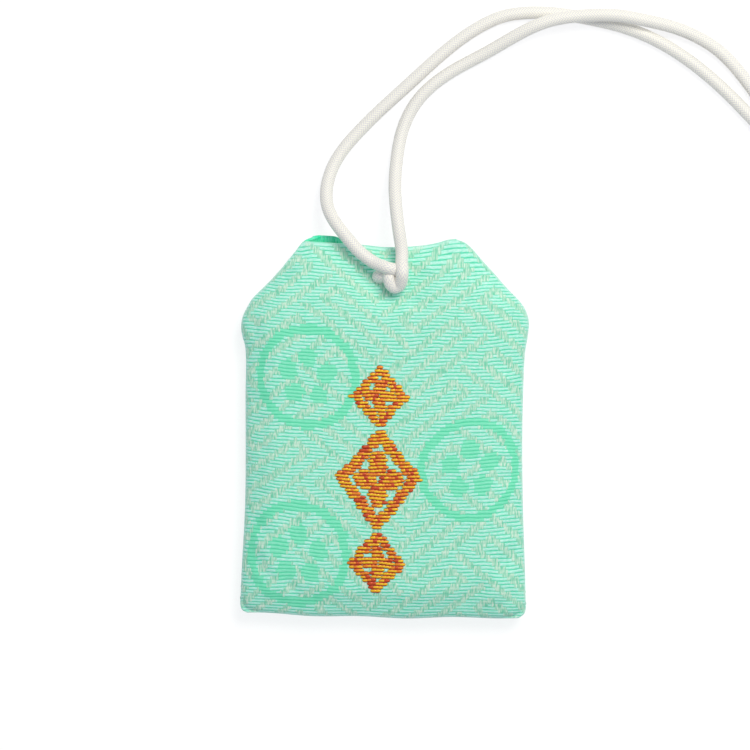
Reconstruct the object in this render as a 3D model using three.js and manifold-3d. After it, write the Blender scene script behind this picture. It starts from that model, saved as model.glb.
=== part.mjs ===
// Omamori charm: a sewn brocade pouch lying on its back, the wrapped tablet inside it,
// and the braided cord that is stitched through the mouth, hitched on the face and knotted into a loop.
// Millimetres. +X runs across the face to the right, +Y towards the mouth, +Z up out of the face.
// The pouch rests on z = 0, with the origin under the middle of its outline.
import * as THREE from "three";
import { mergeVertices } from "three/addons/utils/BufferGeometryUtils.js";
import Module from "manifold-3d";

const wasm = await Module();
wasm.setup();

// Outline of the pouch
const POUCH_WIDTH = 46;
const POUCH_HEIGHT = 61;
const MOUTH_WIDTH = 26.5;
const SHOULDER_DROP = 13;
const SIDE_DRAW_IN = 0.6;
const MOUTH_DIP = 1;
const CORNER_CUT = 2;

// Cloth, card, paper and wood
const BROCADE_THICKNESS = 0.6;
const LINING_THICKNESS = 0.3;
const HEM_THICKNESS = 0.4;
const FOLD_THICKNESS = 0.4;
const CARD_THICKNESS = 0.8;
const WRAPPER_THICKNESS = 0.2;
const TABLET_THICKNESS = 1.6;
const TABLET_WIDTH = 22;
const TABLET_PEAK = 3;

// Room between the layers of the filled pouch
const LAYER_GAP = 0.15;
const SEAM_GAP = 0.3;
const CARD_CLEARANCE = 0.3;
const PACKET_CLEARANCE = 0.25;
const WRAPPER_CLEARANCE = 0.25;
const CROWN_ROOM = 0.65;
const SEAM_HEIGHT = 3.2;

// How the filled pouch thins towards its mouth and is pinched at the cord
const MOUTH_TAPER_LENGTH = 14;
const MOUTH_TAPER = 0.65;
const PINCH = 0.4;
const PINCH_RADIUS = 5;
const BACK_FLAT_SHARE = 0.68;

// Where the inner layers end, measured in from the edges of the pouch
const HEM_START = 2.2;
const HEM_DEPTH = 8;
const HEM_SIDE_ROOM = 0.47;
const LINING_HEAD_ROOM = 0.8;
const CARD_SIDE_ROOM = 6.5;
const CARD_FOOT_ROOM = 7.5;
const CARD_HEAD_ROOM = 16;
const CARD_CHAMFER = 4;
const PACKET_FOOT_ROOM = 10.5;
const PACKET_HEAD_ROOM = 17;
const TABLET_END_ROOM = 0.5;
const SEAM_INSET = 0.7;
const SEAM_THREAD_DIAMETER = 0.4;
const SEAM_STITCH_LENGTH = 3;
const SEAM_STITCH_RISE = 0.35;

// Cord, its two awl holes, and its hitch on the face
const CORD_DIAMETER = 2;
const CORD_GAP = 0.3;
const CORD_REST = 0.1;
const CORD_STEP = 2.6;
const CORD_HOLE_X = 0.5;
const CORD_HOLE_DROP = 6.4;
const CORD_HOLE_SPACING = 3.4;
const SHANK_DIAMETER = 1.8;
const SHANK_CLEARANCE = 0.25;
const BACK_BAR_THICKNESS = 0.9;
const BACK_BAR_GAP = 0.2;
const HITCH_HEIGHT = 3;
const HITCH_DROP = 0.6;
const HITCH_ROUNDING = 0.5;
const LEFT_ROOT_X = -2.8;
const RIGHT_ROOT_X = 1.7;
const ROOT_RISE = 2.45;
const KNOT_LENGTH = 7.5;
const KNOT_WIDTH = 6;
const KNOT_HEIGHT = 4.6;
const KNOT_X = 62.7;
const KNOT_Y = 23.6;
const KNOT_HEADING = THREE.MathUtils.degToRad(-49);
const TAIL_LENGTH = 9;
const TAIL_SPREAD = 2.2;

// Route of each cord strand from its hitch to the end knot. Each row is a point across and along the
// face from the middle of the two holes, how far it is still lifted towards the hitch's height (1 at the
// hitch, 0 lying flat), and how far it has climbed to pass over the other strand (1 on top of it).
const LEFT_STRAND_ROUTE = [
  [-5.1, 4.1, 0.98, 0], [-7.2, 6.4, 0.9, 0], [-9.4, 9.1, 0.76, 0], [-10.6, 11.4, 0.57, 0],
  [-10.8, 13.8, 0.39, 0], [-10.2, 17.0, 0.2, 0], [-8.6, 20.3, 0.07, 0], [-5.9, 23.5, 0, 0],
  [-2.3, 27.3, 0, 0], [1.3, 30.6, 0, 0], [5.0, 34.2, 0, 0], [9.6, 38.4, 0, 0],
  [13.3, 41.0, 0, 0], [16.9, 42.9, 0, 0], [19.3, 43.4, 0, 0], [23.5, 43.7, 0, 0],
  [26.4, 43.5, 0, 0], [30.2, 43.0, 0, 0], [33.7, 42.1, 0, 0], [36.2, 41.4, 0, 0],
  [40.9, 39.5, 0, 0], [45.5, 37.0, 0, 0], [50.2, 33.6, 0, 0], [54.1, 30.4, 0, 0],
  [57.4, 27.6, 0.02, 0],
];
const RIGHT_STRAND_ROUTE = [
  [1.7, 4.2, 0.99, 0], [1.1, 7.9, 0.95, 0], [0.6, 11.6, 0.78, 0], [0.3, 15.3, 0.53, 0],
  [0.6, 19.0, 0.27, 0], [1.0, 22.7, 0.09, 0], [2.2, 26.4, 0, 0], [4.2, 29.7, 0, 0],
  [7.4, 32.6, 0, 0], [11.0, 34.9, 0, 0], [14.7, 36.8, 0, 0.16], [18.8, 39.3, 0, 0.6],
  [22.9, 41.5, 0, 0.97], [26.5, 42.6, 0, 1], [30.8, 43.1, 0, 1], [35.2, 43.3, 0, 1],
  [38.1, 42.9, 0, 0.95], [41.0, 42.3, 0, 0.72], [45.7, 41.2, 0, 0.33], [50.3, 39.0, 0, 0.08],
  [53.5, 36.8, 0, 0], [57.3, 32.6, 0, 0], [60.4, 28.6, 0.02, 0],
];

// Colours and finishes
const MINT_BROCADE = { color: 0x9fe0c8, roughness: 0.55, metalness: 0 };
const PALE_LINING = { color: 0xe9ece4, roughness: 0.9, metalness: 0 };
const MINT_THREAD = { color: 0x6fc7a4, roughness: 0.7, metalness: 0 };
const GREY_CARD = { color: 0xb9ab94, roughness: 0.9, metalness: 0 };
const WHITE_PAPER = { color: 0xf3efe4, roughness: 0.85, metalness: 0 };
const PALE_WOOD = { color: 0xd9b98a, roughness: 0.7, metalness: 0 };
const IVORY_CORD = { color: 0xf2efe6, roughness: 0.75, metalness: 0 };

const charm = new THREE.Group();

function addPiece(name, geometry, finish) {
  const mesh = new THREE.Mesh(geometry, new THREE.MeshStandardMaterial(finish));
  mesh.name = name;
  charm.add(mesh);
}

// Closed geometry to a solid that can be joined and cut, and back
function solidFrom(geometry) {
  const bare = geometry.clone();
  bare.deleteAttribute("normal");
  bare.deleteAttribute("uv");
  const merged = mergeVertices(bare);
  return new wasm.Manifold(
    new wasm.Mesh({
      numProp: 3,
      vertProperties: merged.attributes.position.array,
      triVerts: new Uint32Array(merged.index.array),
    }),
  );
}

function geometryFrom(solid) {
  const mesh = solid.getMesh();
  return new THREE.BufferGeometry()
    .setAttribute("position", new THREE.BufferAttribute(mesh.vertProperties, 3))
    .setIndex(new THREE.BufferAttribute(mesh.triVerts, 1));
}

// Outline, anticlockwise from the lower left corner, each edge bowed in and each corner rounded
const top = POUCH_HEIGHT / 2;
const shoulderY = top - SHOULDER_DROP;
const corners = [
  new THREE.Vector2(-POUCH_WIDTH / 2, -top),
  new THREE.Vector2(POUCH_WIDTH / 2, -top),
  new THREE.Vector2(POUCH_WIDTH / 2, shoulderY),
  new THREE.Vector2(MOUTH_WIDTH / 2, top),
  new THREE.Vector2(-MOUTH_WIDTH / 2, top),
  new THREE.Vector2(-POUCH_WIDTH / 2, shoulderY),
];
const EDGES = [
  { bow: 0, steps: 6 },
  { bow: SIDE_DRAW_IN, steps: 6 },
  { bow: 0, steps: 3 },
  { bow: MOUTH_DIP, steps: 6 },
  { bow: 0, steps: 3 },
  { bow: SIDE_DRAW_IN, steps: 6 },
];
const CORNER_STEPS = 2;

const edgeRuns = EDGES.map(({ bow, steps }, i) => {
  const from = corners[i];
  const to = corners[(i + 1) % corners.length];
  const along = to.clone().sub(from).normalize();
  const inward = new THREE.Vector2(-along.y, along.x);
  const start = from.clone().addScaledVector(along, CORNER_CUT);
  const end = to.clone().addScaledVector(along, -CORNER_CUT);
  const pulled = start.clone().lerp(end, 0.5).addScaledVector(inward, 2 * bow);
  return new THREE.QuadraticBezierCurve(start, pulled, end).getPoints(steps);
});

function cornerRun(i) {
  const before = edgeRuns[(i + edgeRuns.length - 1) % edgeRuns.length];
  const arc = new THREE.QuadraticBezierCurve(before[before.length - 1], corners[i], edgeRuns[i][0]);
  return arc.getPoints(CORNER_STEPS).slice(1, -1);
}

const outline = edgeRuns.flatMap((run, i) => [...run, ...cornerRun((i + 1) % corners.length)]);
const middle = new THREE.Vector2(0, -SHOULDER_DROP / 4);

// Share of the way from the middle to the outline at a point of the face
function shareAt(x, y) {
  const reach = new THREE.Vector2(x, y).sub(middle);
  let share = 0;
  outline.forEach((from, i) => {
    const to = outline[(i + 1) % outline.length];
    const a = from.clone().sub(middle);
    const edge = to.clone().sub(from);
    const facing = a.cross(edge);
    share = Math.max(share, reach.cross(edge) / facing);
  });
  return share;
}

// Heights through the filled pouch, from the table up
const liningTopAtBack = BROCADE_THICKNESS + LAYER_GAP + LINING_THICKNESS;
const cardZ = liningTopAtBack + CARD_CLEARANCE;
const packetZ = cardZ + CARD_THICKNESS + PACKET_CLEARANCE;
const wrapperWall = WRAPPER_CLEARANCE + WRAPPER_THICKNESS;
const packetThickness = TABLET_THICKNESS + 2 * wrapperWall;
const crownZ = packetZ + packetThickness + CROWN_ROOM + liningTopAtBack;
const frontRimZ = SEAM_HEIGHT + SEAM_GAP / 2;
const backRimZ = SEAM_HEIGHT - SEAM_GAP / 2;
const frontRise = crownZ - frontRimZ - BROCADE_THICKNESS;
const backRise = backRimZ - BROCADE_THICKNESS;

const holeX = CORD_HOLE_X;
const holeY = top - CORD_HOLE_DROP;

// The face is crowned all over; the back lies flat and only rolls up at its edges.
// Both close in towards the mouth and where the cord draws them together.
function squeeze(x, y) {
  const towardsMouth = THREE.MathUtils.smoothstep(y, top - MOUTH_TAPER_LENGTH, top);
  const fromCord = Math.hypot(x - holeX, y - holeY) / PINCH_RADIUS;
  return (1 - MOUTH_TAPER * towardsMouth) * (1 - PINCH * Math.exp(-fromCord * fromCord));
}

function faceZ(x, y, share) {
  const crown = Math.sqrt(Math.max(0, 1 - share ** 4));
  return frontRimZ + BROCADE_THICKNESS + frontRise * crown * squeeze(x, y);
}

function backZ(x, y, share) {
  const roll = Math.max(0, share - BACK_FLAT_SHARE) / (1 - BACK_FLAT_SHARE);
  const spread = Math.sqrt(Math.max(0, 1 - roll * roll));
  return backRimZ - BROCADE_THICKNESS - backRise * spread * squeeze(x, y);
}

// A layer of cloth that follows the face or the back at a depth, out to one of the rings
const EDGE_SHARE = 1;
const INNER_EDGE_SHARE = 0.94;
const RING_SHARES = [EDGE_SHARE, 0.98, INNER_EDGE_SHARE, 0.87, 0.78, BACK_FLAT_SHARE, 0.4];

function clothLayer(outerShare, upperZ, lowerZ) {
  const shares = RING_SHARES.filter((share) => share <= outerShare);
  const count = outline.length;
  const positions = [];
  const triangles = [];
  for (const surface of [upperZ, lowerZ]) {
    for (const share of shares) {
      for (const point of outline) {
        const at = middle.clone().lerp(point, share);
        positions.push(at.x, at.y, surface(at.x, at.y, share));
      }
    }
    positions.push(middle.x, middle.y, surface(middle.x, middle.y, 0));
  }
  const below = shares.length * count + 1;
  for (let i = 0; i < count; i += 1) {
    const j = (i + 1) % count;
    triangles.push(i, below + i, below + j, i, below + j, j);
    for (let ring = 0; ring < shares.length - 1; ring += 1) {
      const a = ring * count + i;
      const b = ring * count + j;
      const c = a + count;
      const d = b + count;
      triangles.push(a, b, d, a, d, c);
      triangles.push(below + a, below + d, below + b, below + a, below + c, below + d);
    }
    const inner = (shares.length - 1) * count;
    triangles.push(inner + i, inner + j, below - 1);
    triangles.push(below + inner + i, 2 * below - 1, below + inner + j);
  }
  return new THREE.BufferGeometry()
    .setAttribute("position", new THREE.Float32BufferAttribute(positions, 3))
    .setIndex(triangles);
}

function faceLayer(outerShare, depth, thickness) {
  const upper = (x, y, share) => faceZ(x, y, share) - depth;
  const lower = (x, y, share) => faceZ(x, y, share) - depth - thickness;
  return solidFrom(clothLayer(outerShare, upper, lower));
}

function backLayer(outerShare, depth, thickness) {
  const upper = (x, y, share) => backZ(x, y, share) + depth + thickness;
  const lower = (x, y, share) => backZ(x, y, share) + depth;
  return solidFrom(clothLayer(outerShare, upper, lower));
}

// An upright cutter taller than the pouch, over a flat region
function cutter(points) {
  const depth = 3 * crownZ;
  const prism = new THREE.ExtrudeGeometry(new THREE.Shape(points), { depth, bevelEnabled: false });
  return solidFrom(prism.translate(0, 0, -crownZ));
}

function box2(left, right, low, high) {
  return [
    new THREE.Vector2(left, low),
    new THREE.Vector2(right, low),
    new THREE.Vector2(right, high),
    new THREE.Vector2(left, high),
  ];
}

function upright(x, y, radius, fromZ, toZ) {
  const sides = 16;
  const pin = new THREE.CylinderGeometry(radius, radius, toZ - fromZ, sides);
  return solidFrom(pin.rotateX(Math.PI / 2).translate(x, y, (fromZ + toZ) / 2));
}

// The two awl holes go through both panels and both turned-in hems
const holeXs = [holeX - CORD_HOLE_SPACING / 2, holeX + CORD_HOLE_SPACING / 2];
const holeRadius = SHANK_DIAMETER / 2 + SHANK_CLEARANCE;
const awlHoles = holeXs
  .map((x) => upright(x, holeY, holeRadius, -crownZ, 2 * crownZ))
  .reduce((joined, hole) => joined.add(hole));

// Outer brocade
const frontPanel = faceLayer(EDGE_SHARE, 0, BROCADE_THICKNESS).subtract(awlHoles);
const backPanel = backLayer(EDGE_SHARE, 0, BROCADE_THICKNESS).subtract(awlHoles);
addPiece("front_panel", geometryFrom(frontPanel), MINT_BROCADE);
addPiece("back_panel", geometryFrom(backPanel), MINT_BROCADE);

// Ironed-on lining behind each panel, cut off below the shoulders
const liningDepth = BROCADE_THICKNESS + LAYER_GAP;
const liningRegion = cutter(box2(-POUCH_WIDTH, POUCH_WIDTH, -POUCH_HEIGHT, shoulderY - LINING_HEAD_ROOM));
const frontLining = faceLayer(INNER_EDGE_SHARE, liningDepth, LINING_THICKNESS).intersect(liningRegion);
const backLining = backLayer(INNER_EDGE_SHARE, liningDepth, LINING_THICKNESS).intersect(liningRegion);
addPiece("front_lining", geometryFrom(frontLining), PALE_LINING);
addPiece("back_lining", geometryFrom(backLining), PALE_LINING);

// Where the upper corners of the cloth come to lie when they are folded in along the slanting shoulders
const shoulderCorner = corners[2];
const mouthCorner = corners[3];
const shoulderLine = shoulderCorner.clone().sub(mouthCorner).normalize();
const outward = new THREE.Vector2(-shoulderLine.y, shoulderLine.x);
const unfoldedCorner = new THREE.Vector2(POUCH_WIDTH / 2, top);
const overhang = unfoldedCorner.clone().sub(mouthCorner).dot(outward);
const foldedCorner = unfoldedCorner.clone().addScaledVector(outward, -2 * overhang);

// Edges of the mouth, turned in under each panel between the folded corners
const hemHalfWidth = foldedCorner.x - HEM_SIDE_ROOM;
const mouthY = top - MOUTH_DIP;
const hemRegion = cutter(box2(-hemHalfWidth, hemHalfWidth, mouthY - HEM_DEPTH, mouthY - HEM_START));
const frontHem = faceLayer(EDGE_SHARE, liningDepth, HEM_THICKNESS).intersect(hemRegion).subtract(awlHoles);
const backHem = backLayer(EDGE_SHARE, liningDepth, HEM_THICKNESS).intersect(hemRegion).subtract(awlHoles);
addPiece("front_mouth_hem", geometryFrom(frontHem), MINT_BROCADE);
addPiece("back_mouth_hem", geometryFrom(backHem), MINT_BROCADE);

// Upper corners of the cloth, folded in behind the slanting shoulders
function cornerFold(side) {
  const triangle = [mouthCorner, foldedCorner, shoulderCorner];
  const points = triangle.map((p) => new THREE.Vector2(side * p.x, p.y));
  return backLayer(INNER_EDGE_SHARE, liningDepth, FOLD_THICKNESS).intersect(cutter(points));
}
addPiece("left_corner_fold", geometryFrom(cornerFold(-1)), MINT_BROCADE);
addPiece("right_corner_fold", geometryFrom(cornerFold(1)), MINT_BROCADE);

// A round tube along a smooth path through points
const CORD_SIDES = 8;
function tube(points, diameter, stepLength, sides) {
  const section = Array.from({ length: sides }, (unused, k) => {
    const angle = (2 * Math.PI * k) / sides;
    return new THREE.Vector2(Math.cos(angle), Math.sin(angle)).multiplyScalar(diameter / 2);
  });
  const extrudePath = new THREE.CatmullRomCurve3(points, false, "centripetal");
  const steps = Math.ceil(extrudePath.getLength() / stepLength);
  return new THREE.ExtrudeGeometry(new THREE.Shape(section), { steps, bevelEnabled: false, extrudePath });
}

// Sewing thread that joins the panels, in stitches down one side, along the foot and up the other side
function seamThread() {
  const share = 1 - (2 * SEAM_INSET) / POUCH_WIDTH;
  const run = [...edgeRuns[5], ...cornerRun(0), ...edgeRuns[0], ...cornerRun(1), ...edgeRuns[1]];
  const line = new THREE.CurvePath();
  const inset = run.map((point) => middle.clone().lerp(point, share));
  inset.slice(1).forEach((to, i) => line.add(new THREE.LineCurve(inset[i], to)));
  const stitches = Math.round(line.getLength() / SEAM_STITCH_LENGTH);
  const points = line.getSpacedPoints(stitches).map((point, i) => {
    const rise = i % 2 ? SEAM_STITCH_RISE : -SEAM_STITCH_RISE;
    return new THREE.Vector3(point.x, point.y, SEAM_HEIGHT + rise);
  });
  const threadSides = 5;
  return tube(points, SEAM_THREAD_DIAMETER, SEAM_STITCH_LENGTH / 2, threadSides);
}
addPiece("seam_thread", seamThread(), MINT_THREAD);

// Card that keeps the pouch flat
const cardHalfWidth = POUCH_WIDTH / 2 - CARD_SIDE_ROOM;
const cardFoot = -top + CARD_FOOT_ROOM;
const cardHead = top - CARD_HEAD_ROOM;
const cardShape = new THREE.Shape([
  new THREE.Vector2(-cardHalfWidth, cardFoot),
  new THREE.Vector2(cardHalfWidth, cardFoot),
  new THREE.Vector2(cardHalfWidth, cardHead - CARD_CHAMFER),
  new THREE.Vector2(cardHalfWidth - CARD_CHAMFER, cardHead),
  new THREE.Vector2(-cardHalfWidth + CARD_CHAMFER, cardHead),
  new THREE.Vector2(-cardHalfWidth, cardHead - CARD_CHAMFER),
]);
const card = new THREE.ExtrudeGeometry(cardShape, { depth: CARD_THICKNESS, bevelEnabled: false });
addPiece("stiffener_card", card.translate(0, 0, cardZ), GREY_CARD);

// Paper sleeve round the tablet, open at both ends
const packetFoot = -top + PACKET_FOOT_ROOM;
const packetHead = top - PACKET_HEAD_ROOM;
const sleeveHalfWidth = TABLET_WIDTH / 2 + wrapperWall;
const sleeveShape = new THREE.Shape(box2(-sleeveHalfWidth, sleeveHalfWidth, 0, packetThickness));
const boreHalfWidth = sleeveHalfWidth - WRAPPER_THICKNESS;
const boreTop = packetThickness - WRAPPER_THICKNESS;
sleeveShape.holes.push(new THREE.Path(box2(-boreHalfWidth, boreHalfWidth, WRAPPER_THICKNESS, boreTop)));
const sleeve = new THREE.ExtrudeGeometry(sleeveShape, {
  depth: packetHead - packetFoot,
  bevelEnabled: false,
});
addPiece("tablet_wrapper", sleeve.rotateX(Math.PI / 2).translate(0, packetHead, packetZ), WHITE_PAPER);

// Thin wooden tablet with a peaked head
const tabletFoot = packetFoot + TABLET_END_ROOM;
const tabletHead = packetHead - TABLET_END_ROOM;
const tabletShape = new THREE.Shape([
  new THREE.Vector2(-TABLET_WIDTH / 2, tabletFoot),
  new THREE.Vector2(TABLET_WIDTH / 2, tabletFoot),
  new THREE.Vector2(TABLET_WIDTH / 2, tabletHead - TABLET_PEAK),
  new THREE.Vector2(0, tabletHead),
  new THREE.Vector2(-TABLET_WIDTH / 2, tabletHead - TABLET_PEAK),
]);
const tablet = new THREE.ExtrudeGeometry(tabletShape, { depth: TABLET_THICKNESS, bevelEnabled: false });
addPiece("charm_tablet", tablet.translate(0, 0, packetZ + wrapperWall), PALE_WOOD);

// Height of the face and of the back anywhere on the pouch
const faceAt = (x, y) => faceZ(x, y, shareAt(x, y));
const backAt = (x, y) => backZ(x, y, shareAt(x, y));

// Hitch of the cord over the holes, clear of the face as it turns
const cordRadius = CORD_DIAMETER / 2;
const hitchFoot = HITCH_DROP + CORD_DIAMETER;
const hitchZ = faceAt(holeX, holeY - hitchFoot) + CORD_GAP;
const rootZ = hitchZ + HITCH_HEIGHT / 2;
const hitchHead = ROOT_RISE - cordRadius - CORD_GAP;
const hitchRight = RIGHT_ROOT_X + cordRadius;
const hitchLeft = LEFT_ROOT_X - cordRadius / 2;
const bendX = hitchRight - CORD_DIAMETER;

const hitchShape = new THREE.Shape();
hitchShape.moveTo(hitchLeft + HITCH_ROUNDING, hitchHead - HITCH_ROUNDING);
hitchShape.lineTo(hitchLeft + HITCH_ROUNDING, HITCH_ROUNDING - HITCH_DROP);
hitchShape.lineTo(bendX - CORD_DIAMETER + HITCH_ROUNDING, HITCH_ROUNDING - HITCH_DROP);
hitchShape.lineTo(bendX - CORD_DIAMETER + HITCH_ROUNDING, -HITCH_DROP);
hitchShape.absarc(bendX, -HITCH_DROP, CORD_DIAMETER - HITCH_ROUNDING, Math.PI, 2 * Math.PI, false);
hitchShape.lineTo(hitchRight - HITCH_ROUNDING, hitchHead - HITCH_ROUNDING);
const hitch = new THREE.ExtrudeGeometry(hitchShape, {
  depth: HITCH_HEIGHT - 2 * HITCH_ROUNDING,
  bevelThickness: HITCH_ROUNDING,
  bevelSize: HITCH_ROUNDING,
  bevelSegments: 2,
  curveSegments: 6,
});
addPiece("cord_hitch", hitch.translate(holeX, holeY, hitchZ + HITCH_ROUNDING), IVORY_CORD);

// Short bar of cord behind the pouch, with its two shanks up through the holes
const shankRadius = SHANK_DIAMETER / 2;
const barReach = CORD_HOLE_SPACING / 2 + shankRadius;
const barSides = [-barReach, barReach];
const lowestBack = Math.min(...barSides.map((across) => backAt(holeX + across, holeY - shankRadius)));
const barTop = lowestBack - BACK_BAR_GAP;
const barShape = new THREE.Shape();
barShape.absarc(holeXs[0], holeY, shankRadius, Math.PI / 2, (3 * Math.PI) / 2, false);
barShape.absarc(holeXs[1], holeY, shankRadius, -Math.PI / 2, Math.PI / 2, false);
const bar = new THREE.ExtrudeGeometry(barShape, {
  depth: BACK_BAR_THICKNESS,
  bevelEnabled: false,
  curveSegments: 8,
});
const shankFoot = barTop - BACK_BAR_THICKNESS / 2;
const backStitch = holeXs
  .map((x) => upright(x, holeY, shankRadius, shankFoot, hitchZ - CORD_GAP))
  .reduce((joined, shank) => joined.add(shank), solidFrom(bar.translate(0, 0, barTop - BACK_BAR_THICKNESS)));
addPiece("cord_back_stitch", geometryFrom(backStitch), IVORY_CORD);

// End knot that closes the loop, with its two cut tails
const heading = new THREE.Vector3(Math.cos(KNOT_HEADING), Math.sin(KNOT_HEADING), 0);
const across = new THREE.Vector3(-heading.y, heading.x, 0);
const knotNear = new THREE.Vector3(holeX + KNOT_X, holeY + KNOT_Y, 0);
const knotZ = KNOT_HEIGHT / 2 + CORD_REST;
const lyingZ = cordRadius + CORD_REST;

function byKnot(ahead, aside, z) {
  return knotNear.clone().addScaledVector(heading, ahead).addScaledVector(across, aside).setZ(z);
}

function endKnot() {
  const sides = 14;
  const rings = 10;
  const ball = new THREE.SphereGeometry(0.5, sides, rings).scale(KNOT_LENGTH, KNOT_WIDTH, KNOT_HEIGHT);
  const centre = byKnot(KNOT_LENGTH / 2, 0, knotZ);
  let knot = solidFrom(ball.rotateZ(KNOT_HEADING).translate(centre.x, centre.y, centre.z));
  for (const side of [-1, 1]) {
    const tail = [
      byKnot(KNOT_LENGTH / 2, (side * CORD_DIAMETER) / 2, knotZ),
      byKnot(KNOT_LENGTH + CORD_DIAMETER, (side * TAIL_SPREAD) / 2, lyingZ + CORD_REST),
      byKnot(KNOT_LENGTH + TAIL_LENGTH, side * TAIL_SPREAD, lyingZ),
    ];
    knot = knot.add(solidFrom(tube(tail, CORD_DIAMETER, CORD_STEP, CORD_SIDES)));
  }
  return geometryFrom(knot);
}
addPiece("cord_end_knot", endKnot(), IVORY_CORD);

// Each strand starts on the hitch in a rounded end, lies down onto the table and runs to the end knot
function strand(rootX, route, knotSide) {
  const root = new THREE.Vector3(holeX + rootX, holeY + ROOT_RISE, rootZ);
  const laid = route.map(([x, y, lift, over]) => {
    const z = lyingZ + lift * (rootZ - lyingZ) + over * (CORD_DIAMETER + CORD_GAP);
    return new THREE.Vector3(holeX + x, holeY + y, z);
  });
  const end = byKnot(-CORD_GAP, (knotSide * (CORD_DIAMETER + CORD_GAP)) / 2, (lyingZ + knotZ) / 2);
  const ball = new THREE.SphereGeometry(cordRadius, CORD_SIDES, CORD_SIDES);
  const rounded = ball.translate(root.x, root.y, root.z);
  const length = tube([root, ...laid, end], CORD_DIAMETER, CORD_STEP, CORD_SIDES);
  return geometryFrom(solidFrom(length).add(solidFrom(rounded)));
}
addPiece("cord_left_strand", strand(LEFT_ROOT_X, LEFT_STRAND_ROUTE, -1), IVORY_CORD);
addPiece("cord_right_strand", strand(RIGHT_ROOT_X, RIGHT_STRAND_ROUTE, 1), IVORY_CORD);

export default charm;
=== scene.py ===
"""Omamori charm: a lined brocade pouch round a wrapped wooden tablet, with a braided cord loop."""

import math
from functools import partialmethod

import bmesh
import bpy
import numpy as np
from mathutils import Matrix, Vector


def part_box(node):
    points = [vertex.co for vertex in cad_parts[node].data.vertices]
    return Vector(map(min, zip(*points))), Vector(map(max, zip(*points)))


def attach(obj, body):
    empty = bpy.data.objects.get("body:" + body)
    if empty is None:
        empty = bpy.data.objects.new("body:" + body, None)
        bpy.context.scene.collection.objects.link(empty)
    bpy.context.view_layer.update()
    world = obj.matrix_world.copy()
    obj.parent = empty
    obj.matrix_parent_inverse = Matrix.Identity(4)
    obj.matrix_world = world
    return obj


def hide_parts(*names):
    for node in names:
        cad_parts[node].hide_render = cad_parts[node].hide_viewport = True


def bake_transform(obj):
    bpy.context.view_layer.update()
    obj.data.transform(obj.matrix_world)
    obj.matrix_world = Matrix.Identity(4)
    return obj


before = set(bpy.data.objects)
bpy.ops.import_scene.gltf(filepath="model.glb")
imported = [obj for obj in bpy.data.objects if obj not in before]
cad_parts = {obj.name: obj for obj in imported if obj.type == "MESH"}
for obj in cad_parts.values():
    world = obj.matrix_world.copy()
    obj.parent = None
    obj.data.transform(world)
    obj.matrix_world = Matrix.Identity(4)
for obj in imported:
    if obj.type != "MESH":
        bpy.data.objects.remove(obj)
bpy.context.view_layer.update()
mm = 0.001


# Charm tablet
# A thin board of planed pale softwood with a low peak at its head, the charm proper.
# Its edges are eased by hand, and it lies loose in its paper wrapper.

TABLET_PEAK = 3 * mm
TABLET_EASE = 0.25 * mm
GRAIN_TURN = 1.3
GRAIN_WANDER = 1.6


def paint(red, green, blue):
    """A colour as it looks on a screen, 0 to 255, as a shader's linear colour."""
    seen = np.array([red, green, blue]) / 255
    linear = np.where(seen <= 0.04045, seen / 12.92, ((seen + 0.055) / 1.055) ** 2.4)
    return (*linear.tolist(), 1.0)


class Wire:
    """A value on its way through a node tree, written as plain arithmetic. a | b is the larger of two."""

    def __init__(self, socket):
        self.socket = socket
        self.tree = socket.id_data

    def math(self, operation, *others):
        return wire_from(self.tree, "ShaderNodeMath", dict(enumerate((self, *others))), operation=operation)

    __add__ = partialmethod(math, "ADD")
    __sub__ = partialmethod(math, "SUBTRACT")
    __rsub__ = partialmethod(math, "MULTIPLY_ADD", -1.0)
    __mul__ = partialmethod(math, "MULTIPLY")
    __truediv__ = partialmethod(math, "DIVIDE")
    __pow__ = partialmethod(math, "POWER")
    __lt__ = partialmethod(math, "LESS_THAN")
    __gt__ = partialmethod(math, "GREATER_THAN")
    __or__ = partialmethod(math, "MAXIMUM")
    __abs__ = partialmethod(math, "ABSOLUTE")
    floor = partialmethod(math, "FLOOR")
    fract = partialmethod(math, "FRACT")

    def within(self, low, high):
        """1 between two limits and 0 outside them."""
        return (self > low) * (self < high)

    def wave(self):
        """A wave between 0 and 1."""
        return self.math("SINE") * 0.5 + 0.5

    def smooth(self, low, high):
        """A soft step from 0 at low to 1 at high."""
        ends = {"Value": self, "From Min": low, "From Max": high}
        return wire_from(self.tree, "ShaderNodeMapRange", ends, interpolation_type="SMOOTHSTEP")

    def choose(self, yes, no):
        """yes where this wire is 1, no where it is 0."""
        return (yes - no) * self + no

    def scaled(self, scale):
        """A vector times a number."""
        return wire_from(self.tree, "ShaderNodeVectorMath", {0: self, "Scale": scale}, operation="SCALE")

    def times(self, other):
        """A vector times another, number by number."""
        return wire_from(self.tree, "ShaderNodeVectorMath", {0: self, 1: other}, operation="MULTIPLY")

    def xyz(self):
        """The three numbers of a vector."""
        first = wire_from(self.tree, "ShaderNodeSeparateXYZ", {0: self})
        return [Wire(socket) for socket in first.socket.node.outputs]


def connect(socket, value):
    """Feeds a socket with a wire, or sets it to a plain value."""
    if isinstance(value, Wire):
        socket.id_data.links.new(value.socket, socket)
    else:
        socket.default_value = value


def feed(node, inputs):
    """Feeds a node's inputs, given by name or by number."""
    for name, value in inputs.items():
        connect(node.inputs[name], value)


def wire_from(tree, kind, inputs, output=0, **settings):
    """One output of a new node, whose settings are made before its inputs are fed."""
    node = tree.nodes.new(kind)
    for name, value in settings.items():
        setattr(node, name, value)
    feed(node, inputs)
    return Wire(node.outputs[output])


def mixed(share, first, second):
    """A colour between two others."""
    inputs = {"Factor": share, 6: first, 7: second}
    return wire_from(share.tree, "ShaderNodeMix", inputs, 2, data_type="RGBA")


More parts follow.
